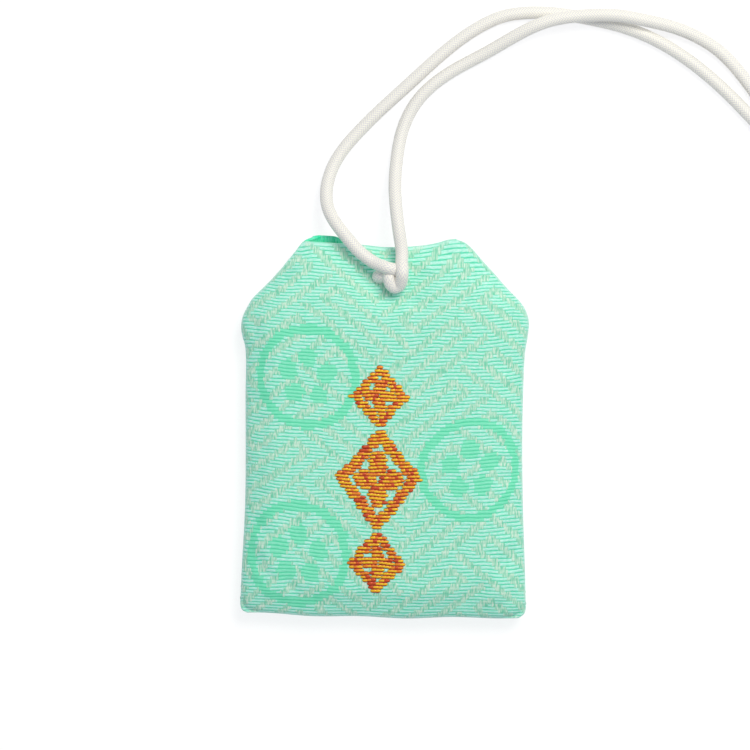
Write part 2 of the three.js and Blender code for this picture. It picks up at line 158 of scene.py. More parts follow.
def bumped(height, strength, depth):
    """A normal for relief so fine that only shading shows it."""
    inputs = {"Height": height, "Strength": strength, "Distance": depth * mm}
    return wire_from(height.tree, "ShaderNodeBump", inputs)


def new_material(name, plain):
    """A material with one Principled shader, and the values that are the same all over it."""
    material = bpy.data.materials.new(name)
    material.use_nodes = True
    shader = material.node_tree.nodes["Principled BSDF"]
    feed(shader, plain)
    return material, material.node_tree, shader


def object_point(tree):
    """Where a point lies on the object, in millimetres."""
    return wire_from(tree, "ShaderNodeTexCoord", {}, "Object").scaled(1 / mm)


def new_tree(kind, name, inputs, outputs):
    """A node tree, its named inputs as wires, and the sockets of its named outputs."""
    tree = bpy.data.node_groups.new(name, kind)
    for in_out, sockets in (("INPUT", inputs), ("OUTPUT", outputs)):
        for label, what in sockets.items():
            tree.interface.new_socket(label, in_out=in_out, socket_type="NodeSocket" + what)
    entry = tree.nodes.new("NodeGroupInput")
    wires = {label: Wire(entry.outputs[label]) for label in inputs}
    return tree, wires, tree.nodes.new("NodeGroupOutput").inputs


fibres, wire, out = new_tree(
    "ShaderNodeTree", "fibres", {"Point": "Vector", "Cells": "Vector"}, {"Fibre": "Float", "Mottle": "Float"}
)
cells = wire["Point"].times(wire["Cells"])
for label, scale, detail, low, high in (("Fibre", 1.0, 4.0, 0.32, 0.68), ("Mottle", 0.17, 3.0, 0.3, 0.7)):
    inputs = {"Vector": cells, "Scale": scale, "Detail": detail}
    connect(out[label], wire_from(fibres, "ShaderNodeTexNoise", inputs, "Fac").smooth(low, high))


def fibre_masks(tree, cells, point=None):
    """The fibres group put into a material: masks of its fine fibres and of its broad mottle."""
    node = tree.nodes.new("ShaderNodeGroup")
    node.node_tree = fibres
    feed(node, {"Point": point or object_point(tree), "Cells": cells})
    return [Wire(socket) for socket in node.outputs]


def placed(name, data):
    """A new object in the scene."""
    thing = bpy.data.objects.new(name, data)
    bpy.context.scene.collection.objects.link(thing)
    return thing


def link_piece(name, mesh, material):
    """A piece of the object with its mesh and its material."""
    mesh.materials.clear()
    mesh.materials.append(material)
    return placed(name, mesh)


def stand_in(piece, node, body):
    """Puts a piece in the place of a CAD node, which is hidden, and on its body."""
    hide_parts(node)
    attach(piece, body)


def slab(name, outline, low_z, high_z, ease, material):
    """A flat board cut to an outline, with its edges eased."""
    board = bmesh.new()
    base = board.faces.new([board.verts.new((x, y, low_z)) for x, y in outline])
    raised = bmesh.ops.extrude_face_region(board, geom=[base])["geom"]
    lifted = [part for part in raised if isinstance(part, bmesh.types.BMVert)]
    bmesh.ops.translate(board, verts=lifted, vec=(0, 0, high_z - low_z))
    bmesh.ops.bevel(board, geom=board.edges[:], offset=ease, segments=3, profile=0.5, affect="EDGES")
    bmesh.ops.recalc_face_normals(board, faces=board.faces)
    mesh = bpy.data.meshes.new(name)
    board.to_mesh(mesh)
    board.free()
    return link_piece(name, mesh, material)


tablet_wood, tree, shader = new_material("tablet_wood", {})
grain, mottle = fibre_masks(tree, (5.0, 0.16, 2.0))
rings = (object_point(tree).xyz()[0] * GRAIN_TURN + mottle * GRAIN_WANDER).wave()
early_wood = mixed(grain, paint(228, 201, 156), paint(214, 182, 132))
wood_looks = {
    "Base Color": mixed(rings * 0.45, early_wood, paint(190, 150, 100)),
    "Roughness": grain * 0.16 + 0.54,
    "Normal": bumped(grain, 0.25, 0.05),
}
feed(shader, wood_looks)

low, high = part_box("charm_tablet")
shoulder = high.y - TABLET_PEAK
tablet_outline = [(low.x, low.y), (high.x, low.y), (high.x, shoulder), (0, high.y), (low.x, shoulder)]
tablet = slab("tablet", tablet_outline, low.z, high.z, TABLET_EASE, tablet_wood)
stand_in(tablet, "charm_tablet", "packet")


# Tablet wrapper
# A strip of soft white fibre paper wound once round the tablet and lapped behind it.
# Its folds are pressed by hand, its ends are open, and nothing is glued.

PAPER_THICKNESS = 0.14
PAPER_LAP = 6.0
PAPER_LAP_STEP = 1.3 * PAPER_THICKNESS
PAPER_FOLD_RADIUS = 0.45
PAPER_FOLD_STEPS = 6
PAPER_ROWS = 40
PAPER_COLUMNS = 90
CRUMPLE_DEPTH = 0.05
CRUMPLE_ALONG = 0.9
CRUMPLE_ROUND = 0.35
CRUMPLE_DRIFT = 2


def box_mm(node):
    """The lowest and the highest corner of a CAD node, in millimetres."""
    return [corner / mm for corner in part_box(node)]


def length_along(route):
    """How much of a route has passed at each of its points."""
    return np.concatenate([[0], np.cumsum(np.linalg.norm(np.diff(route, axis=0), axis=1))])


def grid_faces(rows, columns, start=0):
    """The four-sided faces of a grid of points kept row by row."""
    corner = start + np.arange(rows - 1)[:, None] * columns + np.arange(columns - 1)[None, :]
    quads = np.stack([corner, corner + 1, corner + columns + 1, corner + columns], axis=-1)
    return quads.reshape(-1, 4)


def smooth_mesh(name, points, faces):
    """A mesh of points given in millimetres, shaded smooth."""
    mesh = bpy.data.meshes.new(name)
    mesh.from_pydata((np.asarray(points) * mm).tolist(), [], faces)
    mesh.shade_smooth()
    return mesh


def closed_layer(name, outer, inner, rim=None):
    """A layer of cloth or paper between two grids of points, closed along its rim, and the grid's edge."""
    rows, columns = outer.shape[:2]
    count = rows * columns
    index = np.arange(count).reshape(rows, columns)
    edge = np.concatenate([index[0], index[1:, -1], index[-1, -2::-1], index[-2:0:-1, 0]])
    points = [outer.reshape(-1, 3), inner.reshape(-1, 3)]
    faces = [grid_faces(rows, columns), grid_faces(rows, columns, count)[:, ::-1]]
    loops = [edge, edge + count]
    if rim is not None:
        points.append(rim(points[0][edge], points[1][edge]))
        loops.insert(1, 2 * count + np.arange(len(edge)))
    for above, below in zip(loops, loops[1:]):
        faces.append(np.stack([above, below, np.roll(below, -1), np.roll(above, -1)], axis=-1))
    return smooth_mesh(name, np.concatenate(points), np.concatenate(faces).tolist()), edge


def felted_material(name, roughness, cells, shades):
    """A matt material of felted fibres in two shades."""
    material, tree, shader = new_material(name, {"Roughness": roughness, "Sheen Weight": 0.1})
    felt, _ = fibre_masks(tree, cells)
    feed(shader, {"Base Color": mixed(felt, *shades), "Normal": bumped(felt, 0.3, 0.04)})
    return material


paper_shades = (paint(246, 243, 234), paint(232, 228, 214))
fibre_paper = felted_material("fibre_paper", 0.85, (1.6, 0.5, 1.6), paper_shades)

low, high = box_mm("tablet_wrapper")
paper_low = low.z + PAPER_THICKNESS / 2
paper_high = high.z - PAPER_THICKNESS / 2
fold_x = high.x - PAPER_THICKNESS / 2 - PAPER_FOLD_RADIUS
fold_low = paper_low + PAPER_FOLD_RADIUS
fold_high = paper_high - PAPER_FOLD_RADIUS
strip = [(PAPER_LAP, paper_low + PAPER_LAP_STEP), (-PAPER_LAP, paper_low + PAPER_LAP_STEP)]
folds = ((-fold_x, fold_low, 270), (-fold_x, fold_high, 180), (fold_x, fold_high, 90), (fold_x, fold_low, 0))
for x, z, turn in folds:
    for angle in np.radians(np.linspace(turn, turn - 90, PAPER_FOLD_STEPS)):
        strip.append((x + PAPER_FOLD_RADIUS * math.cos(angle), z + PAPER_FOLD_RADIUS * math.sin(angle)))
strip.append((-PAPER_LAP, paper_low))
strip = np.array(strip)
lengths = length_along(strip)
stations = np.unique(np.concatenate([lengths, np.linspace(0, lengths[-1], PAPER_COLUMNS)]))
strip = np.stack([np.interp(stations, lengths, strip[:, axis]) for axis in (0, 1)], axis=-1)
heading = np.gradient(strip, axis=0)
heading /= np.linalg.norm(heading, axis=1)[:, None]
outwards = np.stack([-heading[:, 1], heading[:, 0]], axis=-1)
rows_y = np.linspace(low.y, high.y, PAPER_ROWS)
drift = CRUMPLE_DRIFT * np.sin(stations * CRUMPLE_ROUND)
crumple = CRUMPLE_DEPTH * np.sin(rows_y[:, None] * CRUMPLE_ALONG + drift[None, :])
crumple *= np.clip(np.sin(np.pi * stations / stations[-1]), 0, 1)[None, :]


def paper_side(offset):
    """One side of the wound paper, that far out from its middle."""
    section = strip[None] + outwards[None] * (offset - np.abs(crumple))[..., None]
    across = np.broadcast_to(rows_y[:, None], section.shape[:2])
    return np.stack([section[..., 0], across, section[..., 1]], axis=-1)


wrapper_mesh, _ = closed_layer("wrapper", paper_side(PAPER_THICKNESS / 2), paper_side(-PAPER_THICKNESS / 2))
wrapper = link_piece("wrapper", wrapper_mesh, fibre_paper)
stand_in(wrapper, "tablet_wrapper", "packet")


# Stiffener card
# Grey-brown pressed board, cut with clipped upper corners, that keeps the pouch flat.
# It is slid in behind the packet and held by the lining alone.

CARD_CHAMFER = 4 * mm
CARD_EASE = 0.12 * mm
CARD_PLIES = 9.0

pressed_board, tree, shader = new_material("pressed_board", {"Roughness": 0.88})
pulp, _ = fibre_masks(tree, (2.4, 1.4, 2.4))
plies = (object_point(tree).xyz()[2] * CARD_PLIES).wave()
board_colour = mixed(pulp, paint(196, 182, 160), paint(170, 154, 132))
board_colour = mixed(plies * 0.25, board_colour, paint(140, 124, 102))
feed(shader, {"Base Color": board_colour, "Normal": bumped(pulp, 0.3, 0.04)})

low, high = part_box("stiffener_card")
card_outline = [
    (low.x, low.y),
    (high.x, low.y),
    (high.x, high.y - CARD_CHAMFER),
    (high.x - CARD_CHAMFER, high.y),
    (low.x + CARD_CHAMFER, high.y),
    (low.x, high.y - CARD_CHAMFER),
]
card = slab("card", card_outline, low.z, high.z, CARD_EASE, pressed_board)
stand_in(card, "stiffener_card", "pouch")


# Brocade panels
# Two panels of mint brocade with a ribbed ground, a stepped fret and ring blossoms, seamed face to face.
# The turned pouch is filled by card and packet, so its face swells, its seams draw in and its corners flare.

RIB_PITCH = 0.57
ROWS_PER_RIB = 5
COLUMNS = 90
SECTION_STEPS = 4001
CLOTH_THICKNESS = 0.4
RIM_THICKNESS = 0.6
RIM_ROUND = 0.12
RIM_FADE = 0.9
SEAM_TOUCH = 0.02
CORNER_POWER = 20
FACE_POWER = 8
BACK_FLAT_SHARE = 0.68
MOUTH_SQUEEZE = 0.65
MOUTH_SQUEEZE_START = 16.5
HITCH_SQUEEZE = 0.4
HITCH_SQUEEZE_REACH = 5.0
HITCH_PLACE = (0.5, 24.1)
EDGE_POINTS = 600
LEFT_EDGE = [
    (-21.6, -30.5), (-22.4, -30), (-22.7, -29), (-22.68, -27.6), (-22.55, -22.4), (-22.2, -12.3),
    (-22.45, 4.4), (-22.65, 12.4), (-23.15, 14.2), (-23.4, 15.6), (-23.2, 17.2), (-22.5, 18.8),
    (-21.6, 20.3), (-19.7, 22.4), (-17.2, 25.3), (-14.9, 28.1), (-14.2, 29.1), (-13.4, 29.95),
    (-12.2, 30.5),
]
RIGHT_EDGE = [
    (22.1, -30.5), (23, -29.8), (23.25, -28.8), (23.2, -27.4), (23, -22.7), (22.45, -12.3), (22.15, -3),
    (22.1, 4.5), (22.3, 12.2), (22.7, 15), (22.85, 17.4), (22.35, 19.1), (21.4, 20.5), (17.8, 24.2),
    (14.3, 28.1), (13.3, 29.2), (12.3, 30), (10.9, 30.5),
]

# How far the two lips of the mouth stand over the pouch's top, and how they and the foot rise or drop:
# how far, from which place across the pouch, and up to which
FRONT_LIP = -0.9
FRONT_LIP_RISE = (0.8, 4, 11)
FRONT_CORNER_DROP = (0.45, -11.6, -13.4)
HITCH_PULL = 0.45
HITCH_PULL_PLACE = 0.3
HITCH_PULL_REACH = 3.4
BACK_LIP = 0.2
BACK_LIP_DROP = (1.45, -9, -4.6)
BACK_CORNER_DROP = (0.22, -11, -12.3)
FOOT_LIFT = (0.28, 4, 21)
FOOT_MIDDLE = -1
FOOT_WAVE = 0.12
FOOT_WAVE_TURN = 0.42

# The weft's sag, and its wander as waves: height, turn across, turn along and start
WEFT_SAG = 0.9
SAG_FOOT = 0.25
SAG_HEAD = 0.7
SAG_HEAD_LOSS = 0.6
WEFT_WAVES = ((0.13, 0.45, 0.23, 1), (0.045, 1.05, -0.41, 0), (0.022, 2.3, 0.9, 2))

# Parts of the way from the foot to the mouth, or from the middle to the seam, over which the cloth changes
LIP_START = 0.9
WANDER_START = 0.08
WANDER_END = 0.92
RIM_SPAN = (0.86, 0.97)
SEAM_SPAN = (0.94, 0.985)
MOUTH_OPEN = 0.97

front_low, front_high = box_mm("front_panel")
_, back_high = box_mm("back_panel")
foot_y = front_low.y
mouth_y = front_high.y
front_rim = front_low.z + RIM_THICKNESS
front_rise = front_high.z - front_rim
back_rise = back_high.z - RIM_THICKNESS
seam_z = (front_low.z + back_high.z) / 2
seam_reach = (front_low.z - back_high.z) / 2 - SEAM_TOUCH


def through(points, count):
    """Points on the smooth curve through given ones, spaced by the square root of their distance."""
    points = np.asarray(points, float)
    held = np.vstack([2 * points[0] - points[1], points, 2 * points[-1] - points[-2]])
    knots = np.concatenate([[0], np.cumsum(np.sqrt(np.linalg.norm(np.diff(held, axis=0), axis=1)))])
    at = np.linspace(knots[1], knots[-2], count)
    first = np.clip(np.searchsorted(knots, at, side="right") - 2, 0, len(points) - 2)
    near = [held[first + n] for n in range(4)]
    knot = [knots[first + n] for n in range(4)]

    def between(start, end, low, high):
        return start + (end - start) * ((at - knot[low]) / (knot[high] - knot[low]))[:, None]

    lines = [between(near[n], near[n + 1], n, n + 1) for n in range(3)]
    bends = [between(lines[n], lines[n + 1], n, n + 2) for n in range(2)]
    return between(bends[0], bends[1], 1, 2)


left_edge = through(LEFT_EDGE, EDGE_POINTS)
right_edge = through(RIGHT_EDGE, EDGE_POINTS)


def smoothstep(value, low, high):
    """A soft step from 0 at low to 1 at high."""
    share = np.clip((value - low) / (high - low), 0, 1)
    return share * share * (3 - 2 * share)


def ramp(x, height, low, high):
    """A soft rise from 0 at low to its height at high."""
    return height * smoothstep(x, low, high)


def edges_at(y):
    """The left and right edge of the pouch at a place between its foot and its mouth."""
    return [np.interp(y, edge[:, 1], edge[:, 0]) for edge in (left_edge, right_edge)]


def front_mouth(x):
    """How far the front's folded mouth stands above or below the pouch's top."""
    pull = HITCH_PULL * np.exp(-(((x - HITCH_PULL_PLACE) / HITCH_PULL_REACH) ** 2))
    return ramp(x, *FRONT_LIP_RISE) + FRONT_LIP - (pull + ramp(x, *FRONT_CORNER_DROP))


def back_mouth(x):
    """How far the back's folded mouth stands above or below the pouch's top."""
    return BACK_LIP - ramp(x, *BACK_LIP_DROP) - ramp(x, *BACK_CORNER_DROP)


def foot_edge(x):
    """How far the seamed foot wanders from a straight line."""
    return ramp(np.abs(x - FOOT_MIDDLE), *FOOT_LIFT) - FOOT_WAVE * np.sin(FOOT_WAVE_TURN * x)


def weft_wander(x, row):
    """How far the weft rows are pushed up or down by sewing, turning and filling the pouch."""
    return sum(wave * np.sin(across * x + along * row + start) for wave, across, along, start in WEFT_WAVES)


def weft_place(s, t, mouth):
    """Where a weft row lies on the flat pouch: s runs across it and t from the foot to the mouth."""
    row = foot_y + t * (mouth_y - foot_y)
    sag = WEFT_SAG * smoothstep(t, 0, SAG_FOOT) * (1 - SAG_HEAD_LOSS * smoothstep(t, SAG_HEAD, 1))
    left, right = edges_at(row + sag / 2)
    lip = mouth(left + s * (right - left)) * smoothstep(t, LIP_START, 1)
    left, right = edges_at(row + sag / 2 + lip)
    x = left + s * (right - left)
    y = row + sag * ((2 * s - 1) ** 2 - 0.5) + lip
    y = y + weft_wander(x, row) * smoothstep(t, 0, WANDER_START) * smoothstep(t, 1, WANDER_END)
    return x, y + foot_edge(x) * smoothstep(t, WANDER_START, 0)


def pouch_share(s, t):
    """How far out a place is, from 0 in the middle of the pouch to 1 at its seam."""
    across, along = (np.abs(2 * way - 1) ** CORNER_POWER for way in (s, t))
    return np.clip((across + along) ** (1 / CORNER_POWER), 0, 1)


def near_hitch(x, y, reach):
    """1 under the hitch, falling to 0 around it."""
    return np.exp(-((np.hypot(x - HITCH_PLACE[0], y - HITCH_PLACE[1]) / reach) ** 2))


def squeeze(x, y):
    """How much of its filling the pouch keeps near the flat mouth and under the hitch."""
    mouth = 1 - MOUTH_SQUEEZE * smoothstep(y, MOUTH_SQUEEZE_START, mouth_y)
    return mouth * (1 - HITCH_SQUEEZE * near_hitch(x, y, HITCH_SQUEEZE_REACH))


# The face is cloth a little too large for its frame of seams, so it is let swell by cloth simulation

SLACK_COLUMNS = 47
SLACK_ROWS = 61
SLACK_SCALE = 20
SLACK_FRAMES = 20
SLACK_GROWTH = 0.025
SLACK_PRESSURE = 1.5
SLACK_BENDING = 0.6
SWELL_LIMIT = 0.6
SINK_LIMIT = SWELL_LIMIT / 3
SEAM_HOLD_SPAN = (0.88, 0.97)
HITCH_HOLD_REACH = 4.0
face_swell = np.zeros((SLACK_ROWS, SLACK_COLUMNS))


def swell_at(s, t):
    """How far the face has swollen at a place: a smooth surface over the simulated grid."""
    columns, rows = np.clip(s, 0, 1) * (SLACK_COLUMNS - 1), np.clip(t, 0, 1) * (SLACK_ROWS - 1)
    column, row = columns.astype(int), rows.astype(int)
    padded = np.pad(face_swell, 2, mode="edge")

    def weights(share):
        inner = (3 * share**3 - 6 * share**2 + 4) / 6
        after = (-3 * share**3 + 3 * share**2 + 3 * share + 1) / 6
        return (1 - share) ** 3 / 6, inner, after, share**3 / 6

    total = 0
    for up, row_weight in enumerate(weights(rows - row)):
        for over, column_weight in enumerate(weights(columns - column)):
            total = total + row_weight * column_weight * padded[row + up + 1, column + over + 1]
    return total


def front_height(s, t, x, y):
    """Height of the face over the table."""
    crown = np.sqrt(1 - pouch_share(s, t) ** FACE_POWER) * squeeze(x, y)
    return front_rim + (front_rise - SWELL_LIMIT) * crown + swell_at(s, t)


def back_height(s, t, x, y):
    """Height of the back over the table, which it lies on."""
    roll = np.clip((pouch_share(s, t) - BACK_FLAT_SHARE) / (1 - BACK_FLAT_SHARE), 0, 1)
    return back_rise - back_rise * np.sqrt(1 - roll**2) * squeeze(x, y)


def mesh_points(mesh):
    """The points of a mesh, in metres."""
    places = np.empty(len(mesh.vertices) * 3)
    mesh.vertices.foreach_get("co", places)
    return places.reshape(-1, 3)


def simulated_swell():
    """How far slack cloth, held at its seams and under the hitch, is pushed out by the filling."""
    s, t = np.meshgrid(np.linspace(0, 1, SLACK_COLUMNS), np.linspace(0, 1, SLACK_ROWS))
    x, y = weft_place(s, t, front_mouth)
    laid = np.stack([x, y, front_height(s, t, x, y)], axis=-1)
    faces = grid_faces(SLACK_ROWS, SLACK_COLUMNS).tolist()
    mesh = smooth_mesh("slack_face", laid.reshape(-1, 3) * SLACK_SCALE, faces)
    slack = placed("slack_face", mesh)
    seam_hold = smoothstep(pouch_share(s, t), *SEAM_HOLD_SPAN)
    held = np.maximum(seam_hold, near_hitch(x, y, HITCH_HOLD_REACH))
    group = slack.vertex_groups.new(name="held")
    for index, weight in enumerate(held.ravel().tolist()):
        group.add([index], weight, "REPLACE")
    cloth = slack.modifiers.new("cloth", "CLOTH")
    cloth.settings.vertex_group_mass = "held"
    cloth.settings.shrink_min = -SLACK_GROWTH
    cloth.settings.bending_stiffness = SLACK_BENDING
    cloth.settings.use_pressure = True
    cloth.settings.uniform_pressure_force = SLACK_PRESSURE
    cloth.settings.effector_weights.gravity = 0
    cloth.point_cache.frame_end = SLACK_FRAMES
    for step in range(1, SLACK_FRAMES + 1):
        bpy.context.scene.frame_set(step)
    swollen = mesh_points(slack.evaluated_get(bpy.context.evaluated_depsgraph_get()).to_mesh())
    bpy.data.objects.remove(slack)
    bpy.context.scene.frame_set(1)
    rise = swollen.reshape(laid.shape)[..., 2] / (SLACK_SCALE * mm) - laid[..., 2]
    return np.clip(rise, -SINK_LIMIT, SWELL_LIMIT)


face_swell = simulated_swell()


# The woven figure, stepped by the warp threads across and by the ribs along

FRET_SLOPE = math.radians(38.0)
FRET_UNIT = 2.7
FRET_BAR = 0.42
KEY_LENGTH = 6
KEY_WIDTH = 3
FRET_PLACE = (-14.6, 19.2)
WARP_STEP = 0.28
RING_PLACES = ((-12.6, 8.0), (13.8, -6.5), (-13.5, -20.5))
RING_RADIUS = 7.7
RING_WIDTH = 1.35
PETALS = 5
PETAL_REACH = 3.3
PETAL_RADIUS = 1.55
PETAL_EYE = 1.2
PETAL_STRENGTH = 0.9
RAGGED_SPAN = 2.6
RIB_RELIEF = 0.085
FRET_RIB_RELIEF = 0.35
FRET_WARP_RELIEF = 0.25
RING_RELIEF = 0.8
RIM_REVERSE = 0.3


def vector(tree, *numbers):
    """Three numbers as one vector."""
    return wire_from(tree, "ShaderNodeCombineXYZ", dict(enumerate(numbers)))


def twilled(down, up):
    """Where a place lies on the band that is on top in a twill: 0 to 2 along it, and 0 to 1 across it."""
    turn = (down.floor() + up.floor()).math("FLOORED_MODULO", 4.0)
    falling = turn < 2
    along = falling.choose(turn + down.fract(), turn - 2 + up.fract())
    return along, falling.choose(up.fract(), down.fract())


def key_fret(level, climb):
    """Mask of a fret of hooked keys, each turned against its neighbours."""
    along, across = (way * KEY_WIDTH for way in twilled(level - climb, level + climb))
    half = FRET_BAR / 2
    low = (across > 1) * (0.5 - half)
    high = KEY_LENGTH - (across < KEY_WIDTH - 1) * (0.5 - half)
    bars = (abs(across.fract() - 0.5) < half) * (along > low) * (along < high)
    head_hook = (abs(along - (KEY_LENGTH - 0.5)) < half) * across.within(0.5, KEY_WIDTH / 2)
    foot_hook = (abs(along - 0.5) < half) * across.within(KEY_WIDTH / 2, KEY_WIDTH - 0.5)
    return bars | head_hook | foot_hook


def ring_blossom(x, y):
    """Mask of a ring round a blossom."""
    radius = (x * x + y * y).math("SQRT")
    turn = (y.math("ARCTAN2", x) * (PETALS / (2 * math.pi)) + 0.25).fract() - 0.5
    turn = turn * (2 * math.pi / PETALS)
    petal_x = radius * turn.math("COSINE") - PETAL_REACH
    petal_y = radius * turn.math("SINE")
    petal = (petal_x * petal_x + petal_y * petal_y) < PETAL_RADIUS**2
    petal = petal * (radius > PETAL_EYE) * PETAL_STRENGTH
    return radius.within(RING_RADIUS - RING_WIDTH / 2, RING_RADIUS + RING_WIDTH / 2) | petal


def weave_pattern(x, y):
    """The woven figure at a place of the cloth in millimetres: masks of the fret and the ring blossoms."""
    cell = vector(x.tree, (x / RAGGED_SPAN).floor(), (y / RIB_PITCH).floor(), 0.0)
    ragged = wire_from(x.tree, "ShaderNodeTexWhiteNoise", {"Vector": cell}, "Value", noise_dimensions="2D")
    x = x + (ragged - 0.5) * (2 * WARP_STEP)
    x = (x / WARP_STEP).floor() * WARP_STEP + (WARP_STEP / 2 - FRET_PLACE[0])
    y = (y / RIB_PITCH).floor() * RIB_PITCH + (RIB_PITCH / 2 - FRET_PLACE[1])
    level = x / (KEY_LENGTH * FRET_UNIT * math.cos(FRET_SLOPE))
    climb = y / (KEY_LENGTH * FRET_UNIT * math.sin(FRET_SLOPE))
    fret = key_fret(level, climb)
    blossoms, *others = (
        ring_blossom(x + (FRET_PLACE[0] - ring_x), y + (FRET_PLACE[1] - ring_y))
        for ring_x, ring_y in RING_PLACES
    )
    for blossom in others:
        blossoms = blossoms | blossom
    return fret * (1 - blossoms), blossoms


def geometry_tree(name, values):
    """A Geometry Nodes tree with a shape in, a shape out and a named input for each of its values."""
    kinds = {float: "Float", int: "Int", tuple: "Vector", bpy.types.Material: "Material"}
    inputs = {label: kinds[type(value)] for label, value in values.items()}
    return new_tree("GeometryNodeTree", name, {"Shape": "Geometry", **inputs}, {"Shape": "Geometry"})


def end_tree(shape, material, out):
    """Ends a Geometry Nodes tree with real meshes for its instances, and with its material."""
    whole = wire_from(shape.tree, "GeometryNodeRealizeInstances", {0: shape})
    inputs = {"Geometry": whole, "Material": material}
    connect(out["Shape"], wire_from(shape.tree, "GeometryNodeSetMaterial", inputs))


def made_by(tree, guide_mesh, values):
    """The plain mesh that a tree makes of a guide, which isn't kept."""
    guide = placed(tree.name, guide_mesh)
    modifier = guide.modifiers.new(tree.name, "NODES")
    modifier.node_group = tree
    for socket in tree.interface.items_tree:
        if socket.in_out == "INPUT" and socket.name in values:
            modifier[socket.identifier] = values[socket.name]
    depsgraph = bpy.context.evaluated_depsgraph_get()
    mesh = bpy.data.meshes.new_from_object(
        guide.evaluated_get(depsgraph), preserve_all_data_layers=True, depsgraph=depsgraph
    )
    guide.modifiers.remove(modifier)
    bpy.data.objects.remove(guide)
    return mesh


def kept_on(tree, name, kind):
    """What a mesh keeps on its points under a name, for Geometry Nodes."""
    return wire_from(tree, "GeometryNodeInputNamedAttribute", {"Name": name}, "Attribute", data_type=kind)


def shown_on(tree, name, output):
    """What a mesh keeps on its points under a name, for its material."""
    return wire_from(tree, "ShaderNodeAttribute", {}, output, attribute_name=name)


def moved_out(shape, distance):
    """A shape with its points moved along their normals."""
    shift = wire_from(shape.tree, "GeometryNodeInputNormal", {}).scaled(distance)
    return wire_from(shape.tree, "GeometryNodeSetPosition", {"Geometry": shape, "Offset": shift})


brocade, tree, shader = new_material(
    "brocade", {"Sheen Weight": 0.35, "Sheen Roughness": 0.4, "Specular IOR Level": 0.35}
)
cloth = shown_on(tree, "cloth", "Vector")
cloth_x, cloth_y, face = cloth.xyz()
fret, blossoms = weave_pattern(cloth_x, cloth_y)
rib = cloth_y / RIB_PITCH
slub, slub_mottle = fibre_masks(tree, (0.8, 7.3, 0.0), vector(tree, cloth_x, rib.floor(), face))
yarn, _ = fibre_masks(tree, (1.8, 6.0, 0.0), cloth)
warp, _ = fibre_masks(tree, (3.6, 0.9, 0.0), cloth)
# Painted shade: the valleys between the ribs are mixed towards a darker, deeper green, on the ground, the
# fret and the rings.
painted_rib_valley_shade = abs(rib.fract() * 2 - 1).smooth(slub * 0.3 + 0.25, 0.95)
weft_colour = mixed(yarn, paint(212, 255, 244), paint(162, 246, 224))
rib_valley_shade_colour = mixed(yarn, paint(46, 214, 162), paint(92, 229, 190))
fret_colour = mixed(warp, paint(223, 248, 230), paint(117, 215, 179))
fret_colour = mixed(painted_rib_valley_shade * 0.25, fret_colour, paint(125, 217, 180))
ring_colour = mixed(painted_rib_valley_shade, paint(140, 246, 208), paint(66, 218, 164))
ring_colour = mixed(yarn * 0.35, ring_colour, paint(104, 230, 180))
cloth_colour = mixed(fret, mixed(painted_rib_valley_shade, weft_colour, rib_valley_shade_colour), fret_colour)
cloth_colour = mixed(blossoms, cloth_colour, ring_colour)
cloth_colour = mixed(slub_mottle * 0.1, cloth_colour, paint(120, 214, 184))
# Painted highlight: the folded rims, where the face weight falls to 0, are mixed half way towards a pale
# cyan.
cloth_colour = mixed((1 - face) * 0.5, cloth_colour, paint(200, 253, 240))
reverse_colour = mixed(warp, paint(34, 246, 180), paint(130, 252, 218))
brocade_looks = {
    "Base Color": mixed(shown_on(tree, "reverse", "Fac"), cloth_colour, reverse_colour),
    "Roughness": fret * 0.18 + 0.5,
    "Normal": bumped(fret.choose(warp, yarn), 0.4, 0.05),
}
feed(shader, brocade_looks)

relief_sizes = {"Relief": RIB_RELIEF * mm, "Cloth": brocade}
weave_relief, wire, out = geometry_tree("weave_relief", relief_sizes)
cloth_x, cloth_y, face = kept_on(weave_relief, "cloth", "FLOAT_VECTOR").xyz()
fret, blossoms = weave_pattern(cloth_x, cloth_y)
rib_across = (cloth_y / RIB_PITCH).fract() * 2 - 1
rib_crown = 1 - rib_across * rib_across
warp_crown = abs((cloth_x / WARP_STEP).fract() * 2 - 1) * FRET_WARP_RELIEF + FRET_WARP_RELIEF
crown = fret.choose(rib_crown * FRET_RIB_RELIEF + warp_crown, rib_crown)
crown = blossoms.choose(rib_crown * RING_RELIEF + (1 - RING_RELIEF), crown)
end_tree(moved_out(wire["Shape"], (crown - 1) * face * wire["Relief"]), wire["Cloth"], out)


def keep_vectors(mesh, name, vectors):
    """Keeps a vector on each point of a mesh under a name."""
    kept = mesh.attributes.new(name, "FLOAT_VECTOR", "POINT")
    kept.data.foreach_set("vector", vectors.astype(np.float32).ravel())


def set_cloth(mesh, laid, reverse):
    """Keeps each point's place on the flat cloth with its relief, and which side of the cloth it shows."""
    keep_vectors(mesh, "cloth", laid)
    shown = mesh.attributes.new("reverse", "FLOAT", "POINT")
    shown.data.foreach_set("value", reverse.astype(np.float32))


def rounded_rim(outer, inner):
    """The middle line of a folded rim, standing a little proud of both its edges."""
    away = outer[:, :2] / np.linalg.norm(outer[:, :2], axis=1)[:, None]
    middle = (outer + inner) / 2
    middle[:, :2] += RIM_ROUND * away
    return middle


def length_over(across, height):
    """How much cloth lies along a section of the pouch, measured from its middle."""
    length = length_along(np.stack([across, height], axis=-1))
    return length - length[len(length) // 2]


def weft_rows(height, mouth):
    """The weft rows of a panel, foot to mouth: how far along it they lie, and where on the flat cloth."""
    t = np.linspace(0, 1, SECTION_STEPS)
    s = np.full(SECTION_STEPS, 0.5)
    x, y = weft_place(s, t, mouth)
    cloth = length_over(y, height(s, t, x, y)) + (foot_y + mouth_y) / 2
    spacing = RIB_PITCH / ROWS_PER_RIB
    rows = (np.arange(math.ceil(cloth[0] / spacing), math.floor(cloth[-1] / spacing)) + 0.5) * spacing
    rows = np.concatenate([cloth[:1], rows, cloth[-1:]])
    return np.interp(rows, cloth, t), rows


